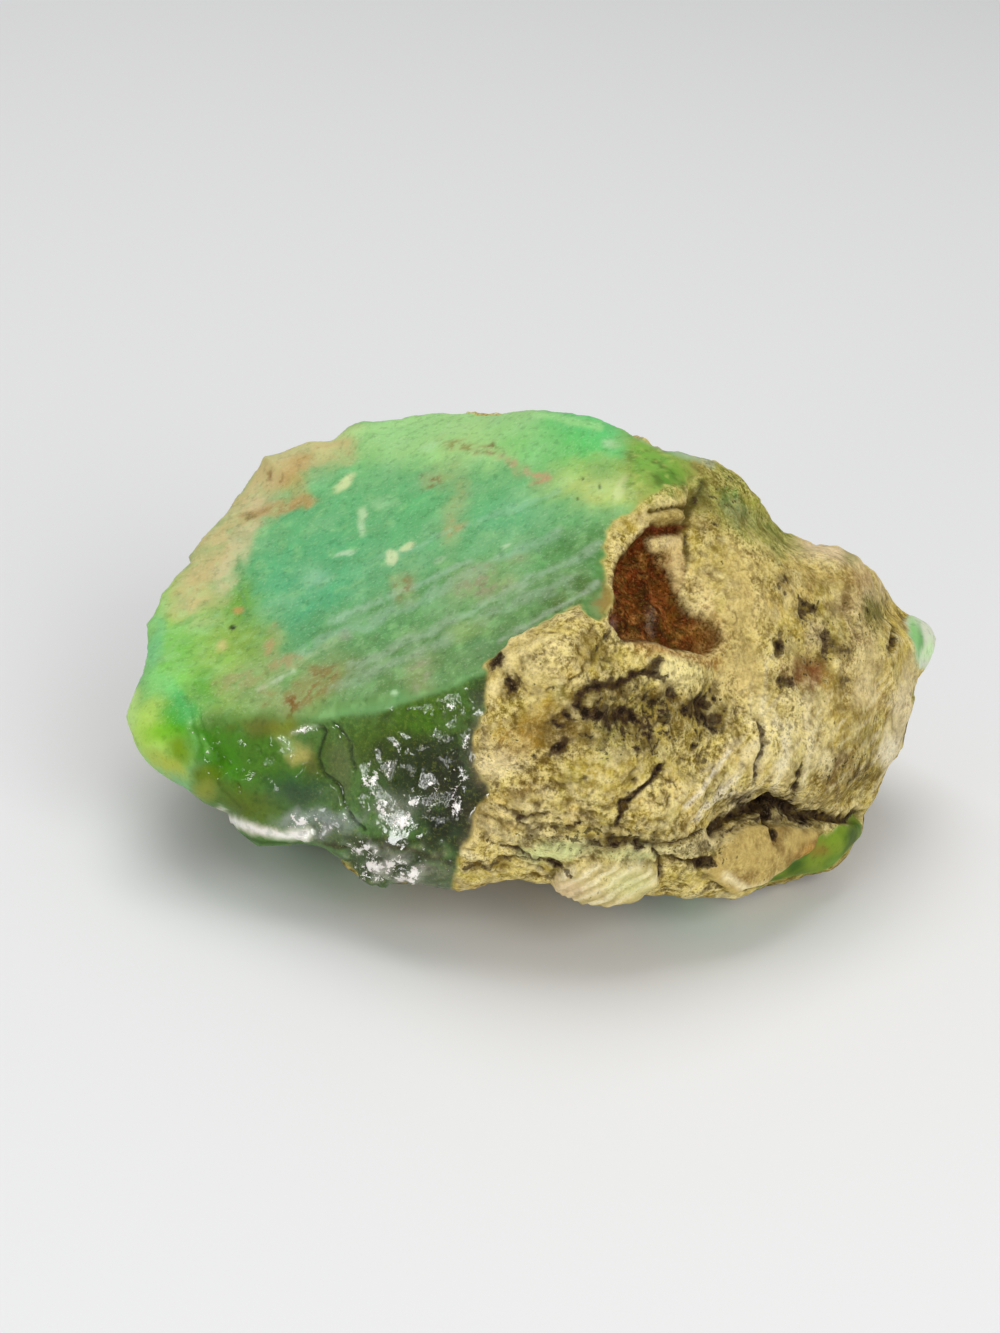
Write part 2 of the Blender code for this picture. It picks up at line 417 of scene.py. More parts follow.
# cracks and grooves on the front: line, half width, depth
GROOVES = (
    ((712, 832, 724, 820, 745, 811, 764, 801, 782, 807, 800, 815, 837, 818, 875, 816), 6, 1),
    ((764, 803, 765, 818, 771, 842), 4, 0.7),
    ((660, 768, 652, 780, 640, 790, 629, 803, 618, 818), 3.2, 0.3),
    ((580, 698, 599, 687, 623, 684, 641, 673, 654, 664), 5, 0.22),
    ((654, 672, 668, 685, 672, 698), 5, 0.25), ((690, 478, 690, 507, 686, 537, 684, 570), 2.8, 0.4),
    ((651, 511, 668, 509, 685, 507), 2.5, 0.5), ((654, 524, 670, 522, 686, 524), 3, 0.6),
    ((758, 722, 760, 748, 755, 782), 3, 0.45), ((470, 864, 516, 858, 547, 861, 571, 868), 2.2, 0.4),
    (LEDGE_CRACK, 2.2, 0.3), ((522, 822, 543, 829, 571, 825, 592, 812), 2.2, 0.3),
    ((592, 842, 623, 838, 654, 847, 670, 842, 697, 830), 2.4, 0.35),
    ((655, 852, 660, 860, 657, 874), 3, 0.5), (WEDGE_CRACK, 3, 0.5),
    ((480, 838, 500, 845, 520, 852), 2.2, 0.3), ((775, 640, 778, 655), 3.5, 0.4),
    ((846, 600, 852, 620, 858, 640), 3.5, 0.4), ((892, 632, 892, 650), 3, 0.4), (RIFT, 2.4, 0.3),
    (RIFT_BRANCH, 2.2, 0.24), (TIP_CRACK, 2.8, 0.2), (TIP_HAIRLINE, 2.6, 0.18),
)
# pits: place, radii, depth
PITS = (
    (592, 715, 9, 8, 0.55), (562, 718, 6, 6, 0.4), (559, 742, 8, 7, 0.4), (709, 705, 9, 8, 0.5),
    (716, 722, 7, 9, 0.4), (690, 745, 4, 6, 0.3), (808, 611, 7, 7, 0.45), (785, 684, 8, 6, 0.45),
    (828, 640, 6, 12, 0.4), (807, 672, 12, 9, 0.35), (764, 802, 10, 8, 0.8), (715, 830, 10, 8, 0.5),
    (700, 864, 10, 5, 0.5), (513, 688, 7, 9, 0.6), (794, 770, 4, 6, 0.3), (793, 786, 4, 7, 0.3),
    (629, 718, 12, 8, 0.3), (654, 736, 10, 8, 0.3), (840, 575, 7, 5, 0.3), (494, 655, 6, 6, 0.35),
)
# lobes and hollows of the crust: place, radii, height, turn
LOBES = (
    (545, 650, 62, 32, 0.6, -35), (508, 735, 30, 42, 0.3), (598, 774, 52, 32, 0.5, -12),
    (682, 665, 32, 20, 0.45, 10), (645, 722, 66, 24, -0.5, -12), (704, 712, 16, 20, -0.4),
    (745, 640, 40, 70, 0.2, 8), (812, 645, 36, 46, -0.4, 10), (790, 738, 34, 50, 0.35, 15),
    (835, 560, 55, 22, 0.3, 14), (700, 790, 62, 18, 0.35, -32), (862, 700, 34, 60, 0.2, 8),
    (590, 700, 20, 20, -0.3), (640, 835, 70, 10, 0.3, -4), (520, 835, 50, 10, 0.3, 8),
)
# flat chips of the wet face that catch the low lamp: place, radii, how broken, turn
CHIPPED = (
    (371, 786, 14, 19, 0.35), (364, 800, 10, 7, 0.5), (384, 806, 15, 8, 0.4, 20),
    (400, 818, 20, 12, 0.35, -10), (427, 784, 13, 17, 0.45), (416, 801, 14, 8, 0.45, -20),
    (395, 746, 15, 5, 0.35, 48), (404, 738, 13, 4, 0.4, 30), (378, 757, 8, 9, 0.7, 20),
    (389, 770, 11, 13, 0.9), (408, 768, 8, 8, 1), (465, 740, 9, 17, 0.6, -10), (462, 774, 13, 12, 0.75, 30),
    (459, 808, 8, 21, 0.55), (446, 760, 9, 16, 1), (440, 735, 16, 14, 1), (446, 706, 14, 7, 0.95, 30),
    (463, 714, 6, 6, 0.9), (436, 820, 14, 12, 1), (441, 798, 10, 12, 0.9), (358, 858, 16, 6, 0.5, 30),
    (384, 867, 16, 7, 0.5, 15), (372, 876, 12, 5, 0.5, 25), (414, 858, 13, 5, 0.6, 5),
    (410, 872, 14, 6, 0.7, 10), (443, 860, 12, 5, 0.8, 15), (436, 873, 12, 6, 0.9),
    (285, 743, 12, 3.5, 0.6, 38), (304, 729, 13, 3.5, 0.3, -18), (243, 742, 5, 8, 0.8, 10),
    (323, 829, 9, 6, 0.4, -10), (308, 834, 8, 5, 0.5), (302, 822, 8, 5, 0.7, 20),
    (344, 800, 10, 5, 0.7, 60), (250, 775, 12, 6, 1), (270, 765, 12, 6, 1), (336, 826, 8, 6, 0.7),
    (362, 774, 7, 12, 0.5), (378, 796, 10, 9, 0.6), (390, 800, 12, 7, 0.7), (430, 800, 9, 9, 0.8),
    (412, 828, 12, 5, 0.5, -15), (408, 752, 9, 5, 0.7, 40), (472, 756, 6, 14, 0.7), (466, 790, 7, 12, 0.7),
    (452, 724, 10, 8, 0.9), (420, 706, 16, 5, 0.9, 10), (456, 700, 12, 6, 0.9, 30), (425, 752, 12, 9, 0.9),
)
# finely broken ground between the chips, and the places turned away from the lamp
SPARKLING = ((418, 770, 66, 66, 0.55), (455, 715, 34, 22, 0.6), (262, 752, 60, 34, 0.2))
TURNED_AWAY = ((240, 757, 34, 22, 15), (285, 775, 26, 18, 10), (480, 700, 16, 10, 0))


def crust_relief():
    lumps = 0.34 * layered(P, 6.0, 2.0, 2)
    grit = 0.15 * layered(P, 1.5, 9.0)
    flakes = 0.16 * np.abs(layered(P, 2.6, 24.0))
    hidden = UNSEEN * (0.22 * layered(P, 3.2, 33.0) + 0.25 * grain(P, 11.0, 36.0) - 0.12 * CREASES)
    bedded = FRONT * BEDDED * 0.11 * bedding(7.0, 60.0, 1.0)
    worn = 1.0 - 0.55 * FRONT * rightward(700.0, 780.0)
    return CRUST * (lumps + worn * (grit + flakes - 0.13 * CREASES) + bedded + hidden)


def streaked():
    """Noise drawn out up and down the wet face."""
    slant = P @ np.array((0.78, 0.10, -0.62))
    along = P @ np.array((0.55, 0.0, 0.80))
    return layered(np.stack([slant, P[:, 1] * 0.6, along / 2.6], axis=1), 1.9, 21.0)


STREAKED = streaked()


def wet_relief():
    calm = 0.3 + 0.7 * rightward(270.0, 340.0)
    return (WET + 0.5 * TIP) * calm * (0.11 * STREAKED + 0.12 * grain(P, 4.5, 3.0))


def ledge_relief():
    """Layers that step out around the lower front."""
    band = blot(560, 838, 130, 42, warp=4.0, soft=0.6) * CRUST
    rise = (P[:, 2] * 0.9 + 0.25 * P[:, 0] + 1.2 * grain(P, 7.0, 6.0)) / 1.35
    return band * 0.35 * (rise - np.floor(rise) - 0.5)


def comb(pitch):
    """Waves across the nub, -1 to 1."""
    return np.sin((UV[:, 0] * 0.55 + UV[:, 1]) * pitch + 2.0 * WARP[:, 0])


def relief():
    height = crust_relief() + wet_relief() + ledge_relief()
    for x, y, rx, ry, rise, *turn in LOBES:
        height += rise * SEEN_CRUST * blot(x, y, rx, ry, *turn)
    height += 0.02 * SAWN * grain(P, 9.0, 1.0)
    height -= UNSEEN * (1.0 - CRUST) * (0.45 - 0.20 * layered(P, 3.5, 38.0))
    for line, width, depth in GROOVES:
        height -= depth * FRONT * stripe(line, width, ragged=0.4 * CRUST)
    for x, y, rx, ry, depth in PITS:
        height -= 0.6 * depth * FRONT * blot(x, y, rx, ry, warp=4.0, soft=0.9, ragged=0.5)
    height -= RUST * (1.0 + 0.45 * layered(P, 2.4, 17.0, 4))
    height += FRONT * (0.7 * inside(TAN_OUTLINE, 4.0, 1.0)
                       + 0.4 * stripe((650, 572, 652, 600, 664, 628), 5.0, soft=0.9)
                       + 0.5 * blot(668, 517, 16, 5, warp=1.0, soft=0.6)
                       + 0.5 * blot(921, 642, 15, 28, warp=2.0, soft=0.9))
    return height + NUB * (0.8 + 0.10 * comb(0.9)) + WEDGE * 0.7


def flatten(points, place, aim, soft, reach):
    """Cuts one flat chip that mirrors the aim to the front; gives the points and where it is."""
    weight = blot(*place, soft=soft, ragged=0.8) * WET
    middle = weight @ points / max(weight.sum(), 1.0)
    to_eye, to_aim = CAMERA_AT - middle, aim - middle
    lean = to_eye / np.linalg.norm(to_eye) + to_aim / np.linalg.norm(to_aim)
    lean /= np.linalg.norm(lean)
    gap = ((middle - points) @ lean) / np.maximum(N @ lean, 0.4)
    return points + (weight * np.clip(gap, -reach, reach))[:, None] * N, weight


def chip_faces(points):
    """Turns the left of the wet face from the low lamp and each small chip to it."""
    for place in TURNED_AWAY:
        points = flatten(points, place, SHADED_FLOOR, soft=0.6, reach=0.5)[0]
    chips, broken = np.zeros((2, len(points)))
    for x, y, rx, ry, share, *turn in CHIPPED:
        points, weight = flatten(points, (x, y, rx, ry, *turn), LOW_LAMP, soft=0.5, reach=0.4)
        chips = np.maximum(chips, weight)
        broken = np.maximum(broken, weight * share)
    for *place, share in SPARKLING:
        broken = np.maximum(broken, share * blot(*place, soft=0.9, ragged=0.4) * WET)
    return points, chips, broken


P, CHIPS, BROKEN = chip_faces(P + N * relief()[:, None])
P[:, 2] = np.maximum(P[:, 2], 0.0)
N = normals(P, T)
HOLLOW = ((relax(P, EDGES, 10) - P) * N).sum(axis=1)
HOLLOW = np.clip(HOLLOW / 0.10, -1.0, 1.0)       # above 0 where the skin dips

# ---- colour of the skin
TONE = np.tile(linear("#79ad6f"), (len(P), 1))


def lay(colour, amount):
    """Lays a colour over the skin, amount 0 to 1 at every corner."""
    global TONE
    TONE = TONE + np.clip(amount, 0.0, 1.0)[:, None] * (linear(colour) - TONE)


def clouds(colour, amount, low, high, size, shift, layers=3):
    """Lays a colour where noise of a grain size rises from low to high."""
    lay(colour, amount * smoothstep(low, high, layered(P, size, shift, layers)))


def blots(rows, where, ragged=0.0):
    """rows: x, y, radii, colour, amount, then turn, warp and softness where they are not the usual."""
    for x, y, rx, ry, colour, amount, *form in rows:
        lay(colour, amount * where * blot(x, y, rx, ry, *form, ragged=ragged))


def stripes(rows, where, ragged=0.0):
    """rows: line, half width, colour, amount, then warp and softness where they are not the usual."""
    for line, width, colour, amount, *form in rows:
        lay(colour, amount * where * stripe(line, width, *form, ragged=ragged))


# green stone, large fields first, then spots
GREEN_FIELDS = (
    (330, 570, 150, 110, "#60b277", 0.9, -25, 14), (300, 600, 80, 45, "#59ac7b", 0.7, -25, 10, 0.7),
    (480, 500, 130, 70, "#65b270", 0.7, -15, 14), (480, 440, 120, 32, "#aeda8a", 0.85, 2, 8, 0.7),
    (592, 434, 56, 24, "#5cc872", 0.85, 10, 8), (404, 434, 44, 16, "#92cf98", 0.7, 0, 6),
    (368, 474, 52, 24, "#78b978", 0.7, -15, 8), (505, 522, 60, 28, "#6ab47c", 0.8, -25, 8),
    (400, 562, 50, 26, "#78ae7c", 0.6, -20, 8), (560, 450, 70, 24, "#67c363", 0.7, 5, 6, 0.7),
    (400, 440, 80, 26, "#a2d07c", 0.6, -6, 6, 0.7), (590, 580, 60, 50, "#43722e", 0.85, -35, 12),
    (578, 552, 44, 30, "#4a7d3c", 0.6, -25, 12), (215, 660, 60, 75, "#9cbf52", 0.85, -10, 10),
    (175, 640, 28, 70, "#7dc952", 0.75, 12, 6, 0.7), (165, 600, 22, 40, "#accd5a", 0.6, 30, 5, 0.7),
    (300, 690, 110, 35, "#7b9243", 0.6, -12, 10, 0.7), (440, 650, 170, 50, "#637d47", 0.8, -22, 12),
    (400, 600, 150, 26, "#668a4d", 0.5, -24, 12, 0.9), (560, 620, 60, 26, "#5d7840", 0.6, -30, 8),
    (562, 596, 34, 14, "#4e5e22", 0.75, -30, 7), (602, 484, 50, 25, "#c6cc70", 0.85, 6, 7, 0.6),
    (560, 490, 30, 20, "#a0c470", 0.5, 0, 7), (640, 520, 26, 40, "#8bb366", 0.5, 30, 8),
    (282, 474, 20, 14, "#a5904a", 0.8, 0, 6), (240, 602, 18, 28, "#72a030", 0.8, 0, 6),
    (250, 642, 34, 20, "#8aa43e", 0.7, 0, 6), (322, 642, 30, 16, "#64965a", 0.7, -15, 6),
    (325, 684, 40, 14, "#7a8636", 0.7, -8, 6), (366, 684, 30, 16, "#5c8448", 0.6, -10, 6),
    (202, 684, 16, 18, "#62a83a", 0.8), (242, 684, 18, 14, "#74a04a", 0.7),
    (482, 642, 30, 20, "#5a7f4e", 0.7, -20, 6), (604, 470, 26, 12, "#76a83a", 0.7),
    (157, 640, 9, 34, "#74cc98", 0.5, 12),
)
# the last row is a painted highlight along the top edge of the sawn face
PALE_RIM = (
    ((330, 440, 285, 458, 258, 488, 228, 522, 206, 560, 192, 600), 27, "#d2b982", 0.9, 9, 0.95),
    ((262, 500, 240, 540, 224, 580), 14, "#dfc79a", 0.7, 5),
    ((244, 520, 275, 510, 304, 503), 7, "#ba8d55", 0.8, 5, 0.7),
    ((300, 462, 290, 478, 300, 500), 12, "#c5995a", 0.5, 6),
    ((330, 438, 430, 414, 530, 413, 600, 426), 5, "#b1de90", 0.5),
)
FLECKS = (
    (344, 483, 14, 5, "#cfdca0", 0.95, -38, 2, 0.5), (361, 515, 6, 9, "#b9d8a4", 0.85, 20, 3, 0.6),
    (363, 528, 5, 10, "#b4d6a6", 0.8, -8, 3, 0.6), (346, 553, 11, 3, "#b9d6ae", 0.8, -15, 2, 0.6),
    (391, 558, 6, 8, "#cfddaa", 0.9, 20, 2, 0.5), (408, 546, 10, 4, "#cbdba4", 0.9, -28, 2, 0.5),
    (384, 502, 14, 6, "#a3cf98", 0.6, -10), (317, 578, 13, 9, "#93c6a0", 0.6, -15, 5, 0.9),
    (607, 598, 7, 22, "#96783c", 0.9, 4, 3, 0.6), (604, 624, 10, 8, "#6e4e28", 0.9, 0, 3, 0.6),
    (621, 487, 6, 16, "#d8dca0", 0.5, 25, 2, 0.5), (222, 646, 8, 6, "#cdc07a", 0.8, 0, 3, 0.7),
    (238, 610, 6, 4, "#c49c60", 0.8, 0, 2, 0.6), (233, 628, 3.5, 2.5, "#1f2c16", 0.95, 0, 1, 0.4),
    (583, 479, 2, 1.6, "#3c4826", 0.9, 0, 0, 0.4), (600, 487, 2, 2, "#28341c", 0.9, 0, 0, 0.4),
    (578, 499, 1.6, 1.6, "#4e5c34", 0.8, 0, 0, 0.4), (467, 630, 22, 12, "#93b468", 0.7, -10, 6, 0.9),
    (346, 636, 7, 6, "#8a947c", 0.6, 0, 3, 0.9), (611, 443, 10, 6, "#b0d2a0", 0.7, 20, 3),
    (428, 447, 12, 4, "#aed09c", 0.5, -20, 4), (440, 560, 8, 3, "#b0cda4", 0.5, -20, 2, 0.7),
    (506, 545, 5, 2.5, "#c6dcb4", 0.6, -20, 2, 0.6), (395, 693, 4, 3, "#bfdcb0", 0.7, 0, 1, 0.6),
    (231, 729, 6, 5, "#a8743c", 0.8, 0, 3, 0.6),
)
# broken specks of iron stain: place, radii, colour, amount, turn
RUSTED = (
    (275, 476, 10, 8, "#7c5426", 0.95), (300, 462, 16, 8, "#b89a60", 0.6, -20),
    (249, 518, 9, 5, "#7c6434", 0.95, -20), (275, 511, 32, 6, "#a48a58", 0.8, -14),
    (432, 480, 10, 7, "#7c6030", 0.9, 10), (468, 446, 28, 6, "#8c8a4c", 0.8, 5),
    (494, 446, 6, 7, "#6b5a2c", 0.9), (447, 470, 13, 10, "#97b26c", 0.6, -20),
    (456, 505, 9, 30, "#9cae70", 0.8, 8), (452, 530, 12, 13, "#a8a26c", 0.8),
    (402, 588, 10, 12, "#8a7448", 0.85), (478, 583, 24, 14, "#9c9678", 0.75, -15),
    (272, 648, 8, 20, "#b39a68", 0.85, 14), (288, 662, 18, 8, "#aea070", 0.8, -15),
    (314, 684, 34, 15, "#8c7644", 0.95, -40), (290, 706, 9, 13, "#7c5828", 0.95, 10),
    (268, 697, 14, 9, "#9c9058", 0.7, -20), (420, 673, 12, 17, "#9a967c", 0.75, 10),
    (516, 468, 26, 6, "#b4a478", 0.8, 36), (541, 478, 10, 4, "#c09c74", 0.9, 10),
    (240, 680, 24, 14, "#a89e68", 0.6, -10), (520, 560, 10, 5, "#8c9c74", 0.5, -20),
    (600, 600, 8, 14, "#8a7440", 0.8, 20), (505, 585, 10, 6, "#8c9a74", 0.5),
)
# streaks on the sawn face: the first row is its own darker streak, the pale grey-green rows are painted
# sheen
SAWN_STREAKS_AND_SHEEN = (
    ((240, 556, 241, 590, 246, 612), 3, "#5f955a", 0.6, 3, 0.7),
    ((330, 622, 400, 592, 470, 562), 4, "#a6c4a8", 0.5, 3, 0.9),
    ((300, 650, 380, 618, 470, 575, 560, 530), 6, "#9cbba0", 0.45, 5, 0.9),
    ((350, 668, 440, 625, 530, 580, 600, 545), 5, "#a3b79c", 0.5, 4, 0.9),
    ((330, 690, 420, 650, 500, 610, 570, 580), 7, "#9bb093", 0.5, 5, 0.9),
    ((255, 690, 300, 660, 340, 640), 4, "#b4c998", 0.45, 4, 0.9),
    ((380, 560, 470, 525, 560, 490), 3, "#93c4a0", 0.4, 3, 0.9),
    ((500, 640, 560, 605, 600, 580), 3, "#aebba4", 0.5, 3, 0.9),
    ((258, 690, 275, 681, 293, 671), 2.2, "#c6d6b4", 0.55, 1),
)
# the grey rows at 322, 824 and 396, 806 are painted sheen on the wet face
WET_FIELDS = (
    (402, 866, 66, 26, "#4a4c3a", 0.9, 5, 6), (255, 762, 76, 44, "#456e1a", 0.95, 20, 8),
    (226, 758, 20, 30, "#427a12", 0.8, -20, 6), (262, 722, 20, 14, "#6a5c1c", 0.8, 0, 6),
    (290, 746, 18, 9, "#84984c", 0.7, 38, 6, 0.7), (302, 753, 12, 10, "#b0a45c", 0.8),
    (314, 764, 10, 14, "#54501c", 0.7), (246, 804, 36, 16, "#56641a", 0.85, 20, 6),
    (298, 786, 34, 16, "#2c5030", 0.85, 0, 8), (322, 824, 40, 13, "#868a88", 0.8, 4, 6),
    (334, 770, 14, 34, "#485c24", 0.7), (400, 740, 80, 40, "#445a02", 0.9, -12, 8),
    (420, 720, 38, 20, "#4e7a02", 0.9, -10, 6), (420, 780, 50, 60, "#1e2806", 0.95, 0, 8),
    (436, 826, 16, 18, "#0c1002", 0.95), (340, 838, 60, 10, "#4a5434", 0.7, 10, 6),
    (440, 785, 16, 26, "#241c06", 0.7), (458, 800, 16, 64, "#1c1a0c", 0.9, 0, 5, 0.7),
    (482, 764, 15, 60, "#3e362a", 0.9), (474, 806, 16, 30, "#242212", 0.9),
    (300, 797, 36, 17, "#3a4634", 0.65, 4, 6), (341, 768, 12, 34, "#626844", 0.5),
    (285, 727, 18, 12, "#8c8824", 0.5), (400, 842, 50, 8, "#2c3016", 0.85, 0, 6),
    (452, 712, 20, 16, "#3a4c14", 0.6, 10, 6), (396, 806, 24, 14, "#7c8070", 0.6, 0, 5, 0.9),
    (486, 700, 12, 18, "#5c6044", 0.7),
)
WET_CRACKS = (
    ((484, 720, 480, 750, 482, 770, 492, 796, 480, 815, 468, 842), 10, "#5e523c", 0.8, 5, 0.95),
    (RIFT, 2, "#1b2c0c", 0.85, 1, 0.9), (RIFT_BRANCH, 1.8, "#1e3210", 0.8, 1, 0.9),
    (TIP_CRACK, 2, "#2c6418", 0.6, 1, 0.9), (TIP_HAIRLINE, 1.8, "#2c5c1a", 0.6, 1, 0.9),
    ((210, 768, 222, 790, 240, 806), 1.8, "#3a4c10", 0.6, 2, 0.9),
    ((252, 800, 275, 806, 292, 812), 1.8, "#35501c", 0.6, 2, 0.9),
    ((324, 843, 345, 848, 372, 851, 400, 846, 426, 856, 452, 862), 2.6, "#33280f", 0.8, 2, 0.9),
    ((222, 822, 240, 836, 262, 842, 300, 842), 1.8, "#27400e", 0.7, 1),
)
# painted highlights and reflections of the wet face, in tinted colours, broken by its streaks: place,
# radii, colour, amount, turn
PAINTED_TINTED_HIGHLIGHTS = (
    (398, 814, 24, 12, "#9a9c8c", 0.6, -10), (425, 782, 10, 12, "#84887a", 0.3, 10),
    (466, 824, 8, 18, "#7c7666", 0.4), (464, 746, 9, 20, "#6a6a58", 0.3, 8),
    (306, 822, 30, 12, "#c4bec4", 0.85), (332, 822, 28, 15, "#b4aeb0", 0.85),
    (366, 864, 28, 17, "#ece2da", 0.95, 30), (362, 853, 21, 14, "#ece4e0", 1, 20),
    (398, 870, 27, 16, "#d4ccc4", 0.9, 10), (436, 872, 20, 10, "#a09684", 0.6, 8),
    (432, 850, 20, 5, "#b8a890", 0.7, 5), (304, 729, 13, 4, "#d8d8c0", 0.8, -20),
    (286, 744, 12, 4, "#a8c898", 0.7, 40), (240, 737, 4, 9, "#9fd8a0", 0.7, 10),
    (192, 724, 3, 20, "#a0d088", 0.7, -12), (206, 749, 3, 12, "#94c470", 0.7, -25),
)
# the white painted highlights, which the shader alone lays on: place, radii, amount, turn
PAINTED_WHITE_HIGHLIGHTS = (
    (371, 786, 15, 22, 0.62), (384, 807, 16, 9, 0.62, 20), (402, 819, 20, 12, 0.6, -10),
    (427, 784, 13, 18, 0.56), (416, 801, 14, 9, 0.58, -20), (395, 746, 15, 5, 0.6, 48),
    (404, 738, 13, 4, 0.58, 30), (378, 757, 9, 10, 0.55, 20), (389, 770, 12, 14, 0.46),
    (408, 768, 9, 9, 0.44), (465, 740, 9, 18, 0.56, -10), (462, 774, 12, 13, 0.52, 30),
    (459, 810, 8, 22, 0.58), (446, 706, 15, 7, 0.46, 30), (442, 735, 14, 14, 0.4), (446, 790, 12, 30, 0.36),
    (410, 795, 40, 20, 0.34),
)
# line of the painted reflection along the lower left edge of the wet face
EDGE_REFLECTION_LINE = (220, 813, 232, 821, 246, 826, 260, 830, 283, 834, 306, 834)
TIP_FIELDS = (
    (150, 730, 46, 34, "#acca58", 0.9, 20, 8), (178, 722, 18, 26, "#4a9a10", 0.9, -10),
    (180, 752, 18, 14, "#6c8a00", 0.9, 20), (212, 754, 12, 24, "#336200", 0.9, -20),
    (206, 776, 16, 14, "#5c6e00", 0.9, 20), (130, 708, 12, 22, "#b2d676", 0.8, 0, 5, 0.7),
    (168, 764, 24, 8, "#a8ac3c", 0.8, 30), (205, 792, 12, 10, "#8a8c34", 0.7, 30),
    (186, 700, 20, 22, "#4aa448", 0.85, -30, 6), (200, 738, 12, 20, "#3c8014", 0.8, -10, 6),
    (160, 682, 22, 16, "#84ca70", 0.8), (160, 732, 14, 10, "#74b41c", 0.7),
    (178, 702, 12, 26, "#52b070", 0.3, -32),
)

clouds("#83be78", 0.5, -0.2, 0.9, 12.0, 50.0, 2)
blots(GREEN_FIELDS, FRONT)
stripes(PALE_RIM, FRONT)
clouds("#a9cf9c", 0.22 * SAWN, -0.1, 0.8, 4.5, 60.0)
MILKY = 0.35 + 0.65 * downward(430.0, 530.0)
clouds("#5f9a5c", 0.25 * MILKY * SAWN, 0.1, 0.9, 3.6, 66.0)
clouds("#a8d890", 0.28 * MILKY * FRONT * (1.0 - WET), 0.0, 0.8, 1.7, 180.0)
clouds("#4e8a50", 0.26 * MILKY * FRONT * (1.0 - WET), 0.0, 0.8, 1.7, 184.0)
# painted sheen and streaks across the sawn face
stripes(SAWN_STREAKS_AND_SHEEN, FRONT * smoothstep(-1.1, 0.0, layered(P, 0.9, 120.0)), 0.6)
SPECKED = smoothstep(-0.15, 0.30, layered(P, 1.1, 124.0))
for x, y, rx, ry, colour, amount, *turn in RUSTED:
    lay("#b9a878", FRONT * 0.35 * amount * blot(x, y, rx * 1.3, ry * 1.3, *turn, warp=6.0, soft=0.9))
    lay(colour, FRONT * amount * SPECKED * blot(x, y, rx, ry, *turn, warp=4.0, ragged=0.3))
blots(FLECKS, FRONT, 0.15)
lay("#33521f", 0.10 * FRONT)
lay("#4a6a2c", 0.9 * WET)
blots(WET_FIELDS, WET, 0.3)
DAMP = FRONT * np.clip(WET + TIP, 0.0, 1.0)
stripes(WET_CRACKS, DAMP)
blots(TIP_FIELDS, DAMP)

# painted highlights and reflections of the wet face, broken up by its streaks
HIGHLIGHT_BREAKUP = smoothstep(-0.45, 0.35, STREAKED + 0.5 * RAG)
HIGHLIGHT_PAINT = np.zeros(len(P))


def paint_highlight(amount, place, whiteness=1.0):
    """Paints a highlight on one place and gives how much of its colour is laid under the highlight."""
    global HIGHLIGHT_PAINT
    spot = np.maximum(WET, TIP) * (1.0 - CRUST) * amount * blot(*place, warp=4.0, soft=0.9, ragged=0.5)
    HIGHLIGHT_PAINT = np.maximum(HIGHLIGHT_PAINT, spot * (0.45 + 0.55 * HIGHLIGHT_BREAKUP) * whiteness ** 0.4)
    return 0.5 * spot * HIGHLIGHT_BREAKUP


for x, y, rx, ry, amount, *turn in PAINTED_WHITE_HIGHLIGHTS:
    paint_highlight(amount, (x, y, rx, ry, *turn))
for x, y, rx, ry, colour, amount, *turn in PAINTED_TINTED_HIGHLIGHTS:
    lay(colour, paint_highlight(amount, (x, y, rx, ry, *turn), linear(colour).mean()))
# painted reflection: a pale band along the lower left edge of the wet face
lay("#d4cdba", FRONT * (1.0 - CRUST) * 0.85 * stripe(EDGE_REFLECTION_LINE, 6.5, ragged=0.3))
lay("#ece6e4", FRONT * (1.0 - CRUST) * 0.7 * stripe(EDGE_REFLECTION_LINE, 3.6, soft=0.9, ragged=0.3))
lay("#1c2208", WET * 0.5 * smoothstep(0.0, 0.6, -STREAKED) * rightward(330.0, 400.0))

# bare stone of the unseen sides
BELOW_RIM = smoothstep(3.5, 6.0, SAWN_DEPTH)
lay("#6da15e", BARE)
clouds("#3f6a2e", BARE, -0.1, 0.5, 6.0, 70.0)
clouds("#8fc98a", BARE * 0.8, 0.2, 0.7, 7.0, 76.0)
lay("#7c4426", BARE * BELOW_RIM * 0.9 * np.exp(-(COVER / 0.05) ** 2))
clouds("#5c2a14", UNDER * BARE * 0.8, -0.2, 0.4, 8.0, 140.0)

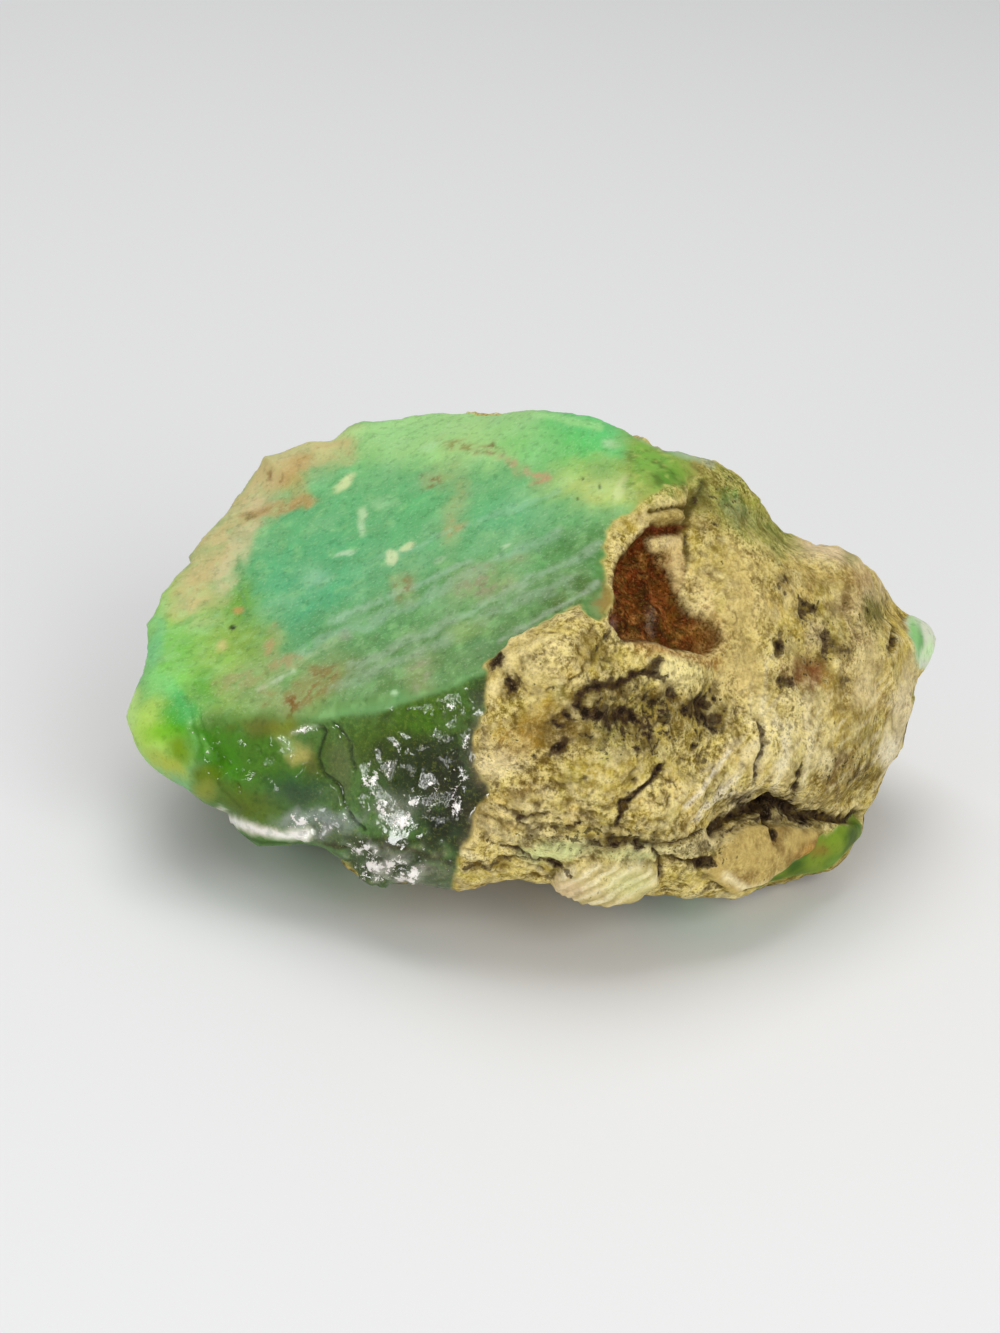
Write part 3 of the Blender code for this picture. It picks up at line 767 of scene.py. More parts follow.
# crust
CRUST_FIELDS = (
    (535, 722, 46, 58, "#a0862c", 0.8, 0, 12), (526, 734, 24, 16, "#a67c14", 0.9, -10, 6),
    (530, 660, 50, 35, "#cab460", 0.7, -20, 10), (600, 760, 50, 34, "#ab9438", 0.7, -10, 10),
    (562, 785, 34, 20, "#9a8a39", 0.6, 0, 10), (680, 672, 28, 22, "#d0c675", 0.85, 10, 8, 0.7),
    (640, 660, 40, 14, "#b6a253", 0.6, -15, 8), (745, 640, 46, 90, "#c8b367", 0.8, 8, 12),
    (720, 560, 30, 60, "#b29e54", 0.6, 0, 10), (790, 735, 50, 45, "#d3c377", 0.8, 10, 12),
    (850, 720, 50, 60, "#b2994d", 0.7, 10, 12), (700, 790, 70, 30, "#cab96d", 0.7, -20, 10),
    (660, 800, 40, 18, "#b3983e", 0.8, -25, 8), (503, 768, 26, 12, "#dcd185", 0.85, 0, 6),
    (500, 800, 40, 20, "#c5ac54", 0.6, 0, 8), (520, 828, 62, 26, "#e8d488", 0.85, 0, 8),
    (485, 782, 9, 40, "#75664a", 0.7, 0, 5, 0.9), (620, 845, 60, 16, "#b0a253", 0.6, 0, 8),
    (830, 560, 60, 24, "#cdb66f", 0.85, 14, 9, 0.9), (800, 580, 26, 30, "#cab06c", 0.7, 0, 8),
    (880, 600, 26, 40, "#b49951", 0.6, 20, 8), (905, 700, 18, 60, "#c8b46f", 0.8, 5, 6),
    (745, 535, 40, 20, "#a9995a", 0.7, 20, 8), (552, 848, 36, 13, "#c2ca80", 0.9, -8, 3, 0.5),
    # the thin dark row at 640, 858 is painted shadow above the nub
    (640, 858, 30, 4, "#2c2a1c", 0.6, 0, 2, 0.7), (566, 690, 13, 26, "#7c7c24", 0.9, 10, 6, 0.9),
    (612, 744, 22, 16, "#aeb060", 0.7, 0, 8, 0.9), (800, 650, 20, 12, "#cdbd73", 0.7, 0, 6),
)
# dark speckle around the stains: place, radii, turn, amount
PEPPERED = (
    (640, 715, 85, 42, -10, 0.85), (600, 835, 110, 22, 4, 0.7), (815, 650, 55, 70, 20, 0.4),
    (765, 805, 70, 18, 10, 0.8), (520, 815, 45, 25, 6, 0.35), (850, 770, 40, 25, -20, 0.6),
    (860, 610, 30, 30, 0, 0.5), (500, 740, 30, 40, 0, 0.3), (720, 500, 40, 40, 0, 0.5),
    (690, 850, 50, 20, 0, 0.6),
)
# stains, also crisped by the shader: place, radii, colour, amount, turn, warp
CRUST_STAINS = (
    (672, 520, 34, 16, "#6e5a28", 0.75, 0, 6), (704, 532, 16, 40, "#746430", 0.8, 0, 6),
    (735, 520, 22, 14, "#7a7236", 0.6, 20, 6), (620, 800, 12, 16, "#5a4420", 0.7, 0, 6),
    (655, 774, 8, 10, "#1c140d", 0.9, 20, 4), (822, 800, 30, 10, "#6a5224", 0.7, 0, 6),
    (590, 714, 42, 22, "#3e3020", 0.7, -14, 9), (648, 736, 46, 24, "#3e2c1e", 0.75, 12, 9),
    (704, 714, 27, 25, "#32241a", 0.75, 0, 8), (672, 700, 28, 16, "#4c4024", 0.7, 0, 8),
    (560, 734, 26, 20, "#5e4c2c", 0.5, 30, 8), (806, 660, 26, 30, "#7c6040", 0.45, 10, 9),
    (512, 686, 9, 15, "#140c05", 0.98, 6, 3), (497, 664, 14, 8, "#22140a", 0.98, -20, 3),
    (706, 860, 13, 7, "#33200f", 0.9, -10, 4), (594, 716, 19, 15, "#211811", 0.95, 0, 7),
    (562, 718, 9, 10, "#231a12", 0.9, 0, 6), (559, 742, 13, 12, "#201811", 0.95, 0, 6),
    (545, 756, 12, 8, "#322516", 0.7, 0, 6), (629, 718, 18, 13, "#322318", 0.85, 0, 8),
    (652, 737, 18, 16, "#342518", 0.8, 0, 8), (662, 708, 26, 13, "#3a2d1e", 0.6, 0, 8),
    (709, 704, 16, 14, "#201612", 0.95, 0, 7), (716, 722, 12, 16, "#2a1e16", 0.85, 0, 7),
    (684, 712, 9, 10, "#32251b", 0.8, 0, 6), (690, 745, 6, 9, "#231a12", 0.9, 0, 4),
    (700, 760, 8, 8, "#3a2b1b", 0.6, 0, 4), (808, 611, 12, 12, "#262018", 0.85, 0, 6),
    (785, 684, 13, 9, "#231c12", 0.85), (779, 644, 6, 16, "#231911", 0.9),
    (828, 640, 9, 21, "#231d0f", 0.9, -10, 6), (842, 648, 10, 13, "#2a2314", 0.8, 0, 6),
    (807, 672, 21, 16, "#6e4121", 0.85, 10, 7), (822, 672, 8, 16, "#804420", 0.7),
    (843, 607, 12, 8, "#584a33", 0.8, 0, 6), (840, 681, 9, 8, "#332516", 0.8),
    (782, 583, 6, 16, "#342d1e", 0.7), (853, 577, 18, 10, "#a3854a", 0.8, 0, 6),
    (846, 597, 10, 18, "#715124", 0.7, 10, 6), (874, 614, 10, 14, "#585520", 0.85),
    (892, 641, 5, 13, "#291c10", 0.9, 8, 3), (877, 663, 6, 8, "#6e4c2a", 0.8, 0, 4),
    (858, 640, 13, 8, "#7d582d", 0.6), (715, 831, 16, 10, "#211812", 0.9, 0, 6),
    (772, 806, 32, 12, "#1c130c", 0.88, 6, 6), (736, 816, 24, 8, "#2a2014", 0.4, -24, 6),
    (768, 832, 6, 16, "#1c130c", 0.95, -10, 3), (700, 864, 16, 8, "#302212", 0.9, -10),
    (794, 771, 5, 10, "#221e12", 0.9, 0, 4), (793, 787, 6, 9, "#221e12", 0.9, 0, 4),
    (822, 782, 12, 9, "#624425", 0.8), (836, 770, 6, 18, "#6e4c2a", 0.8, 30, 4),
    (862, 776, 16, 9, "#635126", 0.8), (866, 735, 8, 16, "#6a6126", 0.7),
    (622, 843, 42, 9, "#2b2b1b", 0.8, 4, 6), (713, 634, 13, 24, "#a8783c", 0.8),
    (608, 842, 13, 8, "#1d1c12", 0.8), (511, 687, 12, 12, "#3d2b14", 0.6),
    (494, 656, 12, 9, "#291c0d", 0.8, 0, 4), (596, 660, 13, 18, "#3b2e1d", 0.6, 20, 6),
    (584, 640, 10, 13, "#6a5a32", 0.5, 0, 6), (530, 812, 39, 5, "#634c28", 0.6, 8),
    (600, 690, 44, 10, "#3a2b1b", 0.6, -14, 6), (528, 792, 29, 6, "#70542a", 0.6),
)
CRUST_VEINS = (
    ((580, 700, 590, 690, 605, 686, 623, 684, 641, 673, 656, 662), 7, "#2a1e15", 0.9, 6, 0.9),
    ((618, 686, 638, 675, 654, 665), 6, "#241a12", 0.9, 3),
    ((654, 674, 668, 684, 674, 697), 5, "#251a12", 0.85, 4, 0.7),
    ((660, 766, 652, 779, 641, 789, 629, 803, 616, 820), 5, "#1c140d", 0.95, 4, 0.7),
    ((712, 832, 724, 820, 745, 811, 764, 801), 5, "#221912", 0.85, 4, 0.7),
    ((764, 801, 782, 807, 800, 815, 837, 818, 885, 812), 5.5, "#291e16", 0.9, 3, 0.7),
    ((764, 803, 765, 818, 771, 841), 4, "#20150c", 0.95, 2, 0.7),
    ((758, 722, 760, 748, 756, 766, 754, 784), 3.5, "#332314", 0.85, 3),
    # the next two rows are painted shadow in the crease down the right of the sawn face
    ((700, 486, 692, 505, 687, 530, 684, 572), 3.2, "#3a3418", 0.7),
    ((701, 484, 695, 498, 690, 512), 5, "#38401c", 0.8, 2, 0.9),
    ((651, 510, 668, 508, 686, 506), 1.8, "#32210d", 0.8),
    ((462, 868, 490, 866, 516, 858, 547, 861, 571, 868), 3, "#291c0f", 0.85),
    (LEDGE_CRACK, 2.6, "#2c1f11", 0.8),
    ((518, 818, 532, 828, 548, 824, 560, 830, 580, 822), 2.8, "#292011", 0.8),
    ((588, 838, 604, 846, 618, 838, 636, 848, 654, 845, 670, 842, 697, 830), 3.4, "#211d12", 0.85, 3),
    ((480, 838, 500, 845, 520, 852, 552, 862), 2.4, "#2b1e10", 0.8),
    ((655, 852, 661, 860, 658, 876), 3, "#19150d", 0.9), (WEDGE_CRACK, 2.5, "#2b1e11", 0.8),
    ((640, 506, 620, 522, 610, 540, 607, 556), 5, "#c9bb72", 0.6, 4),
    ((608, 632, 598, 645, 589, 661), 3.5, "#2c2218", 0.85, 3),
    ((722, 838, 745, 820, 765, 817, 790, 820, 818, 826), 4, "#2a1c10", 0.85, 3),
    ((590, 605, 568, 610, 540, 630, 512, 650), 5, "#dccb8a", 0.6, 4),
    ((720, 790, 740, 770, 752, 740), 4, "#e2d4aa", 0.6, 6, 0.9),
    ((772, 790, 780, 760, 776, 720), 5, "#e4d8b0", 0.6, 6, 0.9),
    ((690, 820, 712, 800, 738, 792), 3, "#e2d6b2", 0.6, 4, 0.9),
    ((806, 760, 812, 730, 806, 700), 5, "#dccda0", 0.5, 6, 0.9),
    ((700, 770, 722, 760, 735, 742), 3, "#dccda4", 0.5, 4, 0.9),
)
MOSS_SPOTS = (
    (650, 462, 34, 26, "#72a542", 0.9, 20, 7), (668, 482, 16, 14, "#4f8428", 0.8, 0, 7),
    # the dark spot at 697, 497 is painted shadow in the same crease
    (645, 490, 14, 12, "#8c9a48", 0.6, 0, 6), (697, 497, 8, 16, "#3c4a20", 0.8),
    (720, 480, 30, 12, "#8b8440", 0.8, 30, 6), (730, 494, 8, 8, "#55923a", 0.85, 0, 4, 0.7),
    (738, 512, 18, 12, "#7d9468", 0.8, 30, 6), (756, 500, 16, 12, "#9a9a3c", 0.85, 45, 6),
    (770, 528, 12, 20, "#7f8440", 0.8, -30, 6), (772, 552, 12, 10, "#7c7a48", 0.7),
    (680, 462, 10, 14, "#7f9a3c", 0.6, -20), (700, 470, 12, 8, "#9a8a48", 0.6),
)
RUST_SPOTS = (
    (640, 575, 22, 40, "#481e06", 0.9, 0, 6), (638, 600, 18, 20, "#5a3008", 0.8, 0, 6),
    (628, 626, 15, 12, "#2c1608", 0.9), (664, 612, 12, 24, "#501e06", 0.85, -8),
    (668, 588, 9, 14, "#6c3c10", 0.8), (676, 610, 9, 14, "#7c4c10", 0.7),
    (694, 636, 26, 14, "#7c4a18", 0.9, 10, 6, 0.9), (704, 628, 14, 12, "#94702c", 0.7, 0, 6, 0.9),
    # the grey rows at 656, 616 and 616, 622 are painted highlight on the ridge and painted sheen at the
    # lower left of the hollow
    (694, 642, 8, 7, "#34180a", 0.8, 0, 4), (656, 616, 3.5, 16, "#9c8674", 0.75, -14, 3),
    (640, 640, 20, 5, "#34180a", 0.8, 0, 4), (618, 584, 6, 26, "#481410", 0.9, 8, 4),
    (616, 622, 5, 12, "#7c6058", 0.7, -20, 3), (634, 562, 8, 14, "#6c2c10", 0.8, 30, 4),
    (643, 616, 9, 6, "#a06a30", 0.7, 0, 4), (648, 561, 7, 9, "#8c5a24", 0.8, 0, 4),
    (643, 638, 19, 6, "#966430", 0.75, 0, 4), (702, 635, 14, 11, "#662c06", 0.8, 0, 4),
    (665, 612, 8, 16, "#361404", 0.6, -6, 4),
)
FOOT_SPOTS = (
    (792, 864, 16, 12, "#33500f", 0.9, -20, 4), (820, 850, 10, 8, "#8a6a2c", 0.7, 0, 4),
    (852, 838, 8, 18, "#3a4c1c", 0.85, 10, 4), (812, 878, 16, 6, "#8aa63c", 0.8, 0, 4),
    (835, 862, 12, 10, "#6c8c2c", 0.8, 0, 4), (868, 826, 8, 10, "#5c7430", 0.7, 0, 4),
    (912, 640, 6, 26, "#74b860", 0.85, 0, 2, 0.7), (917, 640, 2.5, 16, "#4f9440", 0.7, 4, 2),
    (924, 650, 6, 12, "#c4e8a8", 0.8, 20, 2),
)
RUST_TAN = (
    (668, 518, 17, 6, "#a8904c", 0.8, 2, 3), (668, 542, 14, 6, "#e2cd96", 0.8, -4, 2),
    (678, 562, 4, 22, "#d8c084", 0.8, -2, 1), (665, 558, 7, 6, "#a88048", 0.7, 30, 2, 0.9),
)
RUST_LINES = (
    ((640, 556, 647, 580, 650, 602, 662, 624, 690, 636), 3.5, "#220a04", 0.75),
    ((654, 578, 662, 596, 676, 612), 3, "#8a4c24", 0.6),
    ((655, 527, 640, 536, 628, 548, 617, 570, 614, 590), 4.5, "#44100a", 0.85),
    ((636, 645, 665, 651, 692, 660, 712, 664), 6, "#94602c", 0.7, 4, 0.9),
    ((612, 622, 628, 641, 655, 642, 684, 650), 4, "#3a2418", 0.8, 3),
    ((645, 531, 655, 529, 672, 529, 686, 527), 3.2, "#541c10", 0.85, 1),
)
PALE_STREAKS = (
    ((752, 790, 758, 760, 762, 725, 764, 700), 4, "#e4d8ac", 0.6, 3, 0.9),
    ((775, 792, 780, 760, 786, 722), 4.5, "#e4d8ac", 0.6, 3, 0.9),
    ((800, 780, 806, 750, 806, 715), 4, "#e2d6ac", 0.5, 3, 0.9),
    ((684, 806, 700, 785, 716, 768, 730, 752), 3, "#f4ead0", 0.65, 2, 0.9),
    ((694, 816, 714, 798, 736, 778), 3, "#f4ead0", 0.65, 2, 0.9),
)
WASHED = (
    (560, 738, 22, 18, "#6a5434", 0.3, 0, 8, 0.9), (580, 652, 24, 15, "#7c6626", 0.45, -20, 8, 0.9),
    (620, 690, 24, 11, "#4c3818", 0.6, -12, 8, 0.9), (520, 750, 24, 12, "#96783a", 0.5, 0, 8, 0.9),
    (540, 785, 24, 17, "#8c7440", 0.45, 0, 8, 0.9), (604, 620, 18, 22, "#6c4a1c", 0.35, 0, 8, 0.9),
    (780, 675, 11, 15, "#6a5430", 0.35, 0, 6), (840, 612, 11, 13, "#7a6228", 0.3, 0, 6),
    (877, 612, 9, 13, "#5c5c14", 0.45), (808, 671, 22, 19, "#7c4224", 0.6, 10, 7),
    (824, 580, 14, 11, "#7c6626", 0.55, 0, 6), (850, 561, 9, 7, "#5c6a1c", 0.5),
    (869, 604, 9, 15, "#4c5410", 0.5), (862, 581, 12, 8, "#96683a", 0.4), (845, 592, 8, 13, "#665020", 0.5),
    (780, 582, 13, 11, "#5a5634", 0.4, 0, 6), (738, 640, 26, 44, "#a48a46", 0.3, 5, 8, 0.9),
    (846, 772, 13, 24, "#6c5228", 0.4, 20, 6), (890, 752, 11, 19, "#f4ecd0", 0.6, 5),
    (478, 815, 8, 16, "#6c5c3a", 0.3),
)
CREAM_FIELDS = (
    (742, 600, 26, 90, "#d4bc7a", 0.6, 5, 10, 0.9), (742, 680, 26, 30, "#dcc480", 0.7, 0, 8, 0.9),
    (818, 634, 12, 16, "#cdb98a", 0.8), (862, 650, 20, 40, "#d8c48c", 0.7, 10, 8, 0.9),
    (866, 690, 16, 24, "#d8c490", 0.6, 0, 6, 0.9), (540, 720, 22, 20, "#a8842c", 0.5, 0, 8, 0.9),
    (522, 740, 26, 24, "#a27c1a", 0.3, 0, 8, 0.95), (504, 762, 26, 14, "#efdca6", 0.9, 0, 6),
    (742, 800, 14, 10, "#cfc09a", 0.8, -30), (704, 842, 30, 10, "#dccb98", 0.8, -15),
    (826, 762, 18, 14, "#e2d4a4", 0.7, 0, 6, 0.9), (852, 600, 22, 14, "#d2ba88", 0.7, 0, 6, 0.9),
    (800, 730, 26, 40, "#dccb98", 0.5, 8, 8, 0.9), (540, 660, 40, 22, "#dcc98c", 0.5, -30, 8, 0.9),
    (672, 672, 24, 17, "#efe09c", 0.9, 10, 6), (905, 720, 12, 60, "#dccca4", 0.8, 5),
    (826, 552, 44, 13, "#e0c9a4", 0.8, 16, 4), (872, 585, 24, 12, "#d6c096", 0.7, 50, 4),
    (700, 600, 14, 40, "#dcc68c", 0.6, 0, 6, 0.9), (620, 850, 80, 7, "#cfc890", 0.7, 2, 4),
    (554, 850, 36, 12, "#cfd492", 0.9, -8, 3, 0.5), (628, 856, 34, 5, "#cdd092", 0.8, 3, 2, 0.6),
)

SPECK = layered(P, 0.7, 90.0, 2)
lay("#c6ae4c", CRUST)
clouds("#decb72", CRUST * 0.75, -0.4, 0.6, 4.2, 80.0)
clouds("#a08a3c", CRUST * 0.6, 0.0, 0.8, 6.0, 84.0)
blots(CRUST_FIELDS, SEEN_CRUST)
clouds("#8e7a34", CRUST * 0.55, 0.05, 0.7, 3.4, 200.0)
clouds("#c49a5c", CRUST * 0.35, 0.1, 0.7, 4.0, 204.0)
clouds("#a09a48", CRUST * 0.35, 0.1, 0.7, 3.0, 208.0)
clouds("#7a6630", SEEN_CRUST * 0.5 * rightward(800.0, 880.0), -0.2, 0.6, 5.0, 212.0)
BRUSHED = drawn_out(UV @ np.array((0.77, 0.63)) / 5.0, UV @ np.array((-0.63, 0.77)) / 34.0, 230.0)
BRUSHED = BRUSHED * rightward(700.0, 760.0) * downward(620.0, 690.0)
lay("#f0e2b8", SEEN_CRUST * 0.65 * smoothstep(0.05, 0.7, BRUSHED))
lay("#806430", SEEN_CRUST * 0.6 * smoothstep(0.10, 0.8, -BRUSHED))
BANDING = bedding(8.0, 80.0, 5.0) * BEDDED
lay("#ecdfae", SEEN_CRUST * 0.8 * smoothstep(0.10, 0.8, BANDING))
lay("#4a3619", SEEN_CRUST * 0.35 * smoothstep(0.2, 0.9, -BANDING))
lay("#eedfa0", CRUST * 0.5 * smoothstep(0.0, 0.7, SPECK))
clouds("#66501c", CRUST * 0.5, 0.0, 0.7, 1.0, 94.0)
clouds("#86702c", CRUST * 0.65, 0.05, 0.7, 2.2, 100.0)
clouds("#ecdc9c", CRUST * 0.45, 0.05, 0.7, 1.9, 104.0)
# darker in the dips of the crust and lighter on its rises: painted shade and painted highlight
lay("#4a3722", CRUST * 0.7 * smoothstep(0.25, 0.95, HOLLOW + 0.3 * SPECK))
lay("#ead9a0", CRUST * 0.45 * smoothstep(0.25, 0.9, -HOLLOW))
blots(CREAM_FIELDS, SEEN_CRUST)
PEPPER = smoothstep(0.05, 0.30, layered(P, 1.2, 110.0, 4))
STAINED = 0.10 * CRUST * (1.0 - 0.7 * rightward(720.0, 800.0))
for *place, amount in PEPPERED:
    spread = SEEN_CRUST * amount * blot(*place, warp=6.0, soft=0.9)
    STAINED = np.maximum(STAINED, spread)
    lay("#2a1c0e", spread * PEPPER)
HIDDEN = UNSEEN * CRUST * BELOW_RIM
clouds("#caa578", HIDDEN * 0.5, 0.1, 0.6, 10.0, 150.0, 2)
clouds("#8a8a3c", HIDDEN * 0.6, 0.2, 0.6, 8.0, 154.0)
clouds("#6c3a1c", HIDDEN * 0.75, 0.35, 0.7, 7.0, 158.0, 4)
clouds("#24170c", HIDDEN * 0.9, 0.34, 0.5, 4.0, 162.0, 4)
clouds("#5f3018", UNDER * CRUST * 0.7, -0.1, 0.4, 9.0, 166.0)
lay("#8c7a34", UNDER * CRUST * 0.5)
lay("#33241a", CRUST * 0.6 * CREASES)
lay("#8f9444", MOSS * 0.8)
blots(MOSS_SPOTS, MOSS, 0.6)
clouds("#4c5a20", MOSS * 0.6, 0.1, 0.6, 1.5, 170.0)
clouds("#b0b460", MOSS * 0.5, 0.2, 0.7, 1.2, 174.0)
blots(WASHED, SEEN_CRUST, 0.3)
stripes(PALE_STREAKS, SEEN_CRUST, 0.5)

DARK = np.zeros(len(P))


def stain(colour, spot, shares, black, share_dark=1.0):
    """Lays a stain or a vein, weaker where its colour is near black, and marks how dark it is."""
    global DARK
    brightest = linear(colour).max()
    lay(colour, shares[0 if brightest < black else 1] * spot)
    DARK = np.maximum(DARK, share_dark * spot * (1.0 - 5.0 * brightest))


for x, y, rx, ry, colour, amount, *form in CRUST_STAINS:
    spot = amount * SEEN_CRUST * blot(x, y, rx, ry, *form, soft=0.9, ragged=0.6)
    stain(colour, spot, shares=(0.4, 0.6), black=0.08)
for line, width, colour, amount, *form in CRUST_VEINS:
    spot = amount * SEEN_CRUST * stripe(line, width, *form, ragged=0.7)
    stain(colour, spot, shares=(0.6, 1.0), black=0.1, share_dark=0.9)
DARK = DARK * (0.94 - 0.04 * rightward(735.0, 775.0) * downward(820.0, 780.0))

# rust-brown hollow and its tan edge
RUST = RUST * (1.0 - 0.5 * blot(716, 632, 16, 24, soft=0.9, ragged=0.8))
TAN = inside(TAN_OUTLINE, 1.8, 2.0) * FRONT
lay("#4a220a", RUST)
blots(RUST_SPOTS, RUST)
stripes(RUST_LINES, SEEN_CRUST)
clouds("#2a1408", RUST * 0.6, 0.0, 0.7, 1.6, 130.0)
lay("#a87434", RUST * 0.35 * smoothstep(0.1, 0.8, SPECK))
lay("#cdb176", TAN * 0.95)
clouds("#9a7440", TAN * 0.5, 0.0, 0.7, 1.3, 220.0)
blots(RUST_TAN, SEEN_CRUST)

# nub, wedge, foot and right tip
lay("#dccb94", NUB * 0.95)
lay("#94844a", NUB * 0.65 * smoothstep(0.0, 0.9, comb(0.58)))
lay("#f4ecc8", NUB * 0.55 * smoothstep(0.0, 0.9, -comb(0.58)))
lay("#c4c886", NUB * 0.6 * blot(628, 876, 24, 12, warp=4.0, soft=0.9))
lay("#d8bd96", NUB * 0.7 * blot(566, 880, 22, 10, 10, 4.0))
lay("#b89f5e", WEDGE * 0.95)
lay("#a06a24", WEDGE * blot(806, 850, 18, 12, -20))
lay("#8a6a34", WEDGE * 0.6 * smoothstep(0.2, 0.8, SPECK))
clouds("#6e5228", WEDGE * 0.6, -0.1, 0.6, 2.4, 190.0)
# painted highlight along the lower border of the wedge
lay("#efe0b0", WEDGE * 0.8 * stripe((722, 872, 745, 886, 765, 880, 790, 862), 5.0, soft=0.9))
lay("#788c28", FOOT)
clouds("#3c6414", FOOT * 0.8, -0.1, 0.6, 3.5, 97.0, 2)
lay("#c8ccb4", BULB)
blots(FOOT_SPOTS, FRONT * np.maximum(FOOT, BULB))
# painted highlight on the narrow bevel at the top right edge
lay("#9fb3a0", 0.6 * FRONT * stripe((641, 437, 690, 456, 712, 464), 5.0, soft=0.9))

# gloss of the green stone, and where the crust is worn smooth
GLOSS = WET * (0.25 + 0.6 * rightward(280.0, 345.0)) + 0.2 * TIP
GLOSS = np.clip(np.maximum(GLOSS + 0.6 * BARE, CHIPS), 0.0, 1.0) * (1.0 - 0.6 * CRUST)
SMOOTH = 0.5 * rightward(800.0, 900.0) * FRONT + 0.8 * np.maximum(NUB, WEDGE)
for share, *form in ((0.6, 830, 555, 60, 26, 14, 5.0, 0.8), (0.7, 554, 850, 38, 13, -8, 3.0, 0.6),
                     (0.4, 740, 640, 44, 60, 0, 6.0, 0.9)):
    SMOOTH = SMOOTH + share * FRONT * blot(*form)

PAINTED = {
    "crust": CRUST, "wet": GLOSS, "sawn": SAWN * (1.0 - CRUST) * (1.0 - WET), "chips": CHIPS,
    "stained": STAINED, "broken": BROKEN, "painted_highlights": HIGHLIGHT_PAINT, "dark": DARK, "rust": RUST * (1.0 - TAN),
    "rough": 1.0 - 0.75 * np.clip(SMOOTH, 0.0, 1.0),
}


# ---- mesh object
def stone_object():
    write_back(skin, P * MM)
    mesh = bpy.data.meshes.new("stone_skin")
    skin.to_mesh(mesh)
    for name, values in PAINTED.items():
        mesh.attributes.new(name, "FLOAT", "POINT").data.foreach_set("value", values.astype(np.float32))
    tone = mesh.attributes.new("tone", "FLOAT_COLOR", "POINT")
    tone.data.foreach_set("color", np.column_stack([TONE, np.ones(len(P))]).astype(np.float32).ravel())
    mesh.shade_smooth()
    return add_object("stone_skin", mesh)


# ---- material
class Wire:
    """An output socket that can be used in sums, so shader maths reads as an expression."""

    def __init__(self, maker, socket):
        self.maker = maker
        self.socket = socket

    def math(self, operation, first, second):
        return self.maker.node("ShaderNodeMath", {"operation": operation}, {0: first, 1: second})

    def __add__(self, other):
        return self.math("ADD", self, other)

    def __sub__(self, other):
        return self.math("SUBTRACT", self, other)

    def __mul__(self, other):
        return self.math("MULTIPLY", self, other)

    def __rsub__(self, other):
        return self.math("SUBTRACT", other, self)

    __radd__ = __add__
    __rmul__ = __mul__

    def between(self, low, high):
        """0 at low, 1 at high, smooth in the middle."""
        return self.maker.node("ShaderNodeMapRange", {"interpolation_type": "SMOOTHSTEP"},
                               {"Value": self, "From Min": low, "From Max": high})


class Maker:
    """Adds nodes to one material."""

    def __init__(self, name):
        self.material = bpy.data.materials.new(name)
        self.material.use_nodes = True
        self.tree = self.material.node_tree
        self.tree.nodes.clear()

    def node(self, kind, settings=None, sockets=None, out=0):
        """Makes a node: its type, then its settings, then its sockets."""
        node = self.tree.nodes.new(kind)
        for name, value in (settings or {}).items():
            setattr(node, name, value)
        for name, value in (sockets or {}).items():
            if isinstance(value, Wire):
                self.tree.links.new(value.socket, node.inputs[name])
            else:
                node.inputs[name].default_value = value
        return Wire(self, node.outputs[out]) if node.outputs else None

    def coats(self, tone, rows, blend="MIX"):
        """Lays colours over a tone in turn; rows: amount, colour."""
        for amount, colour in rows:
            tone = self.node("ShaderNodeMix", {"data_type": "RGBA", "blend_type": blend},
                             {0: amount, 6: tone, 7: rgb(colour)}, out=2)
        return tone

    def noise(self, scale, detail=3.0, rough=0.5, stretch=(1.0, 1.0, 1.0), shift=0.0):
        place = self.node("ShaderNodeTexCoord", out="Object")
        place = self.node("ShaderNodeMapping", None,
                          {"Vector": place, "Scale": stretch, "Location": (shift, shift, shift)})
        return self.node("ShaderNodeTexNoise", None,
                         {"Vector": place, "Scale": scale, "Detail": detail, "Roughness": rough})

    def painted(self, name, out="Fac"):
        return self.node("ShaderNodeAttribute", {"attribute_name": name}, out=out)

    def bump(self, strength, distance, height):
        return self.node("ShaderNodeBump", None,
                         {"Strength": strength, "Distance": distance, "Height": height})

    def surface(self, sockets, settings=None):
        return self.node("ShaderNodeBsdfPrincipled", settings, sockets)

    def finish(self, surface):
        self.node("ShaderNodeOutputMaterial", None, {"Surface": surface})
        return self.material


def rgb(colour):
    return tuple(linear(colour)) + (1.0,)


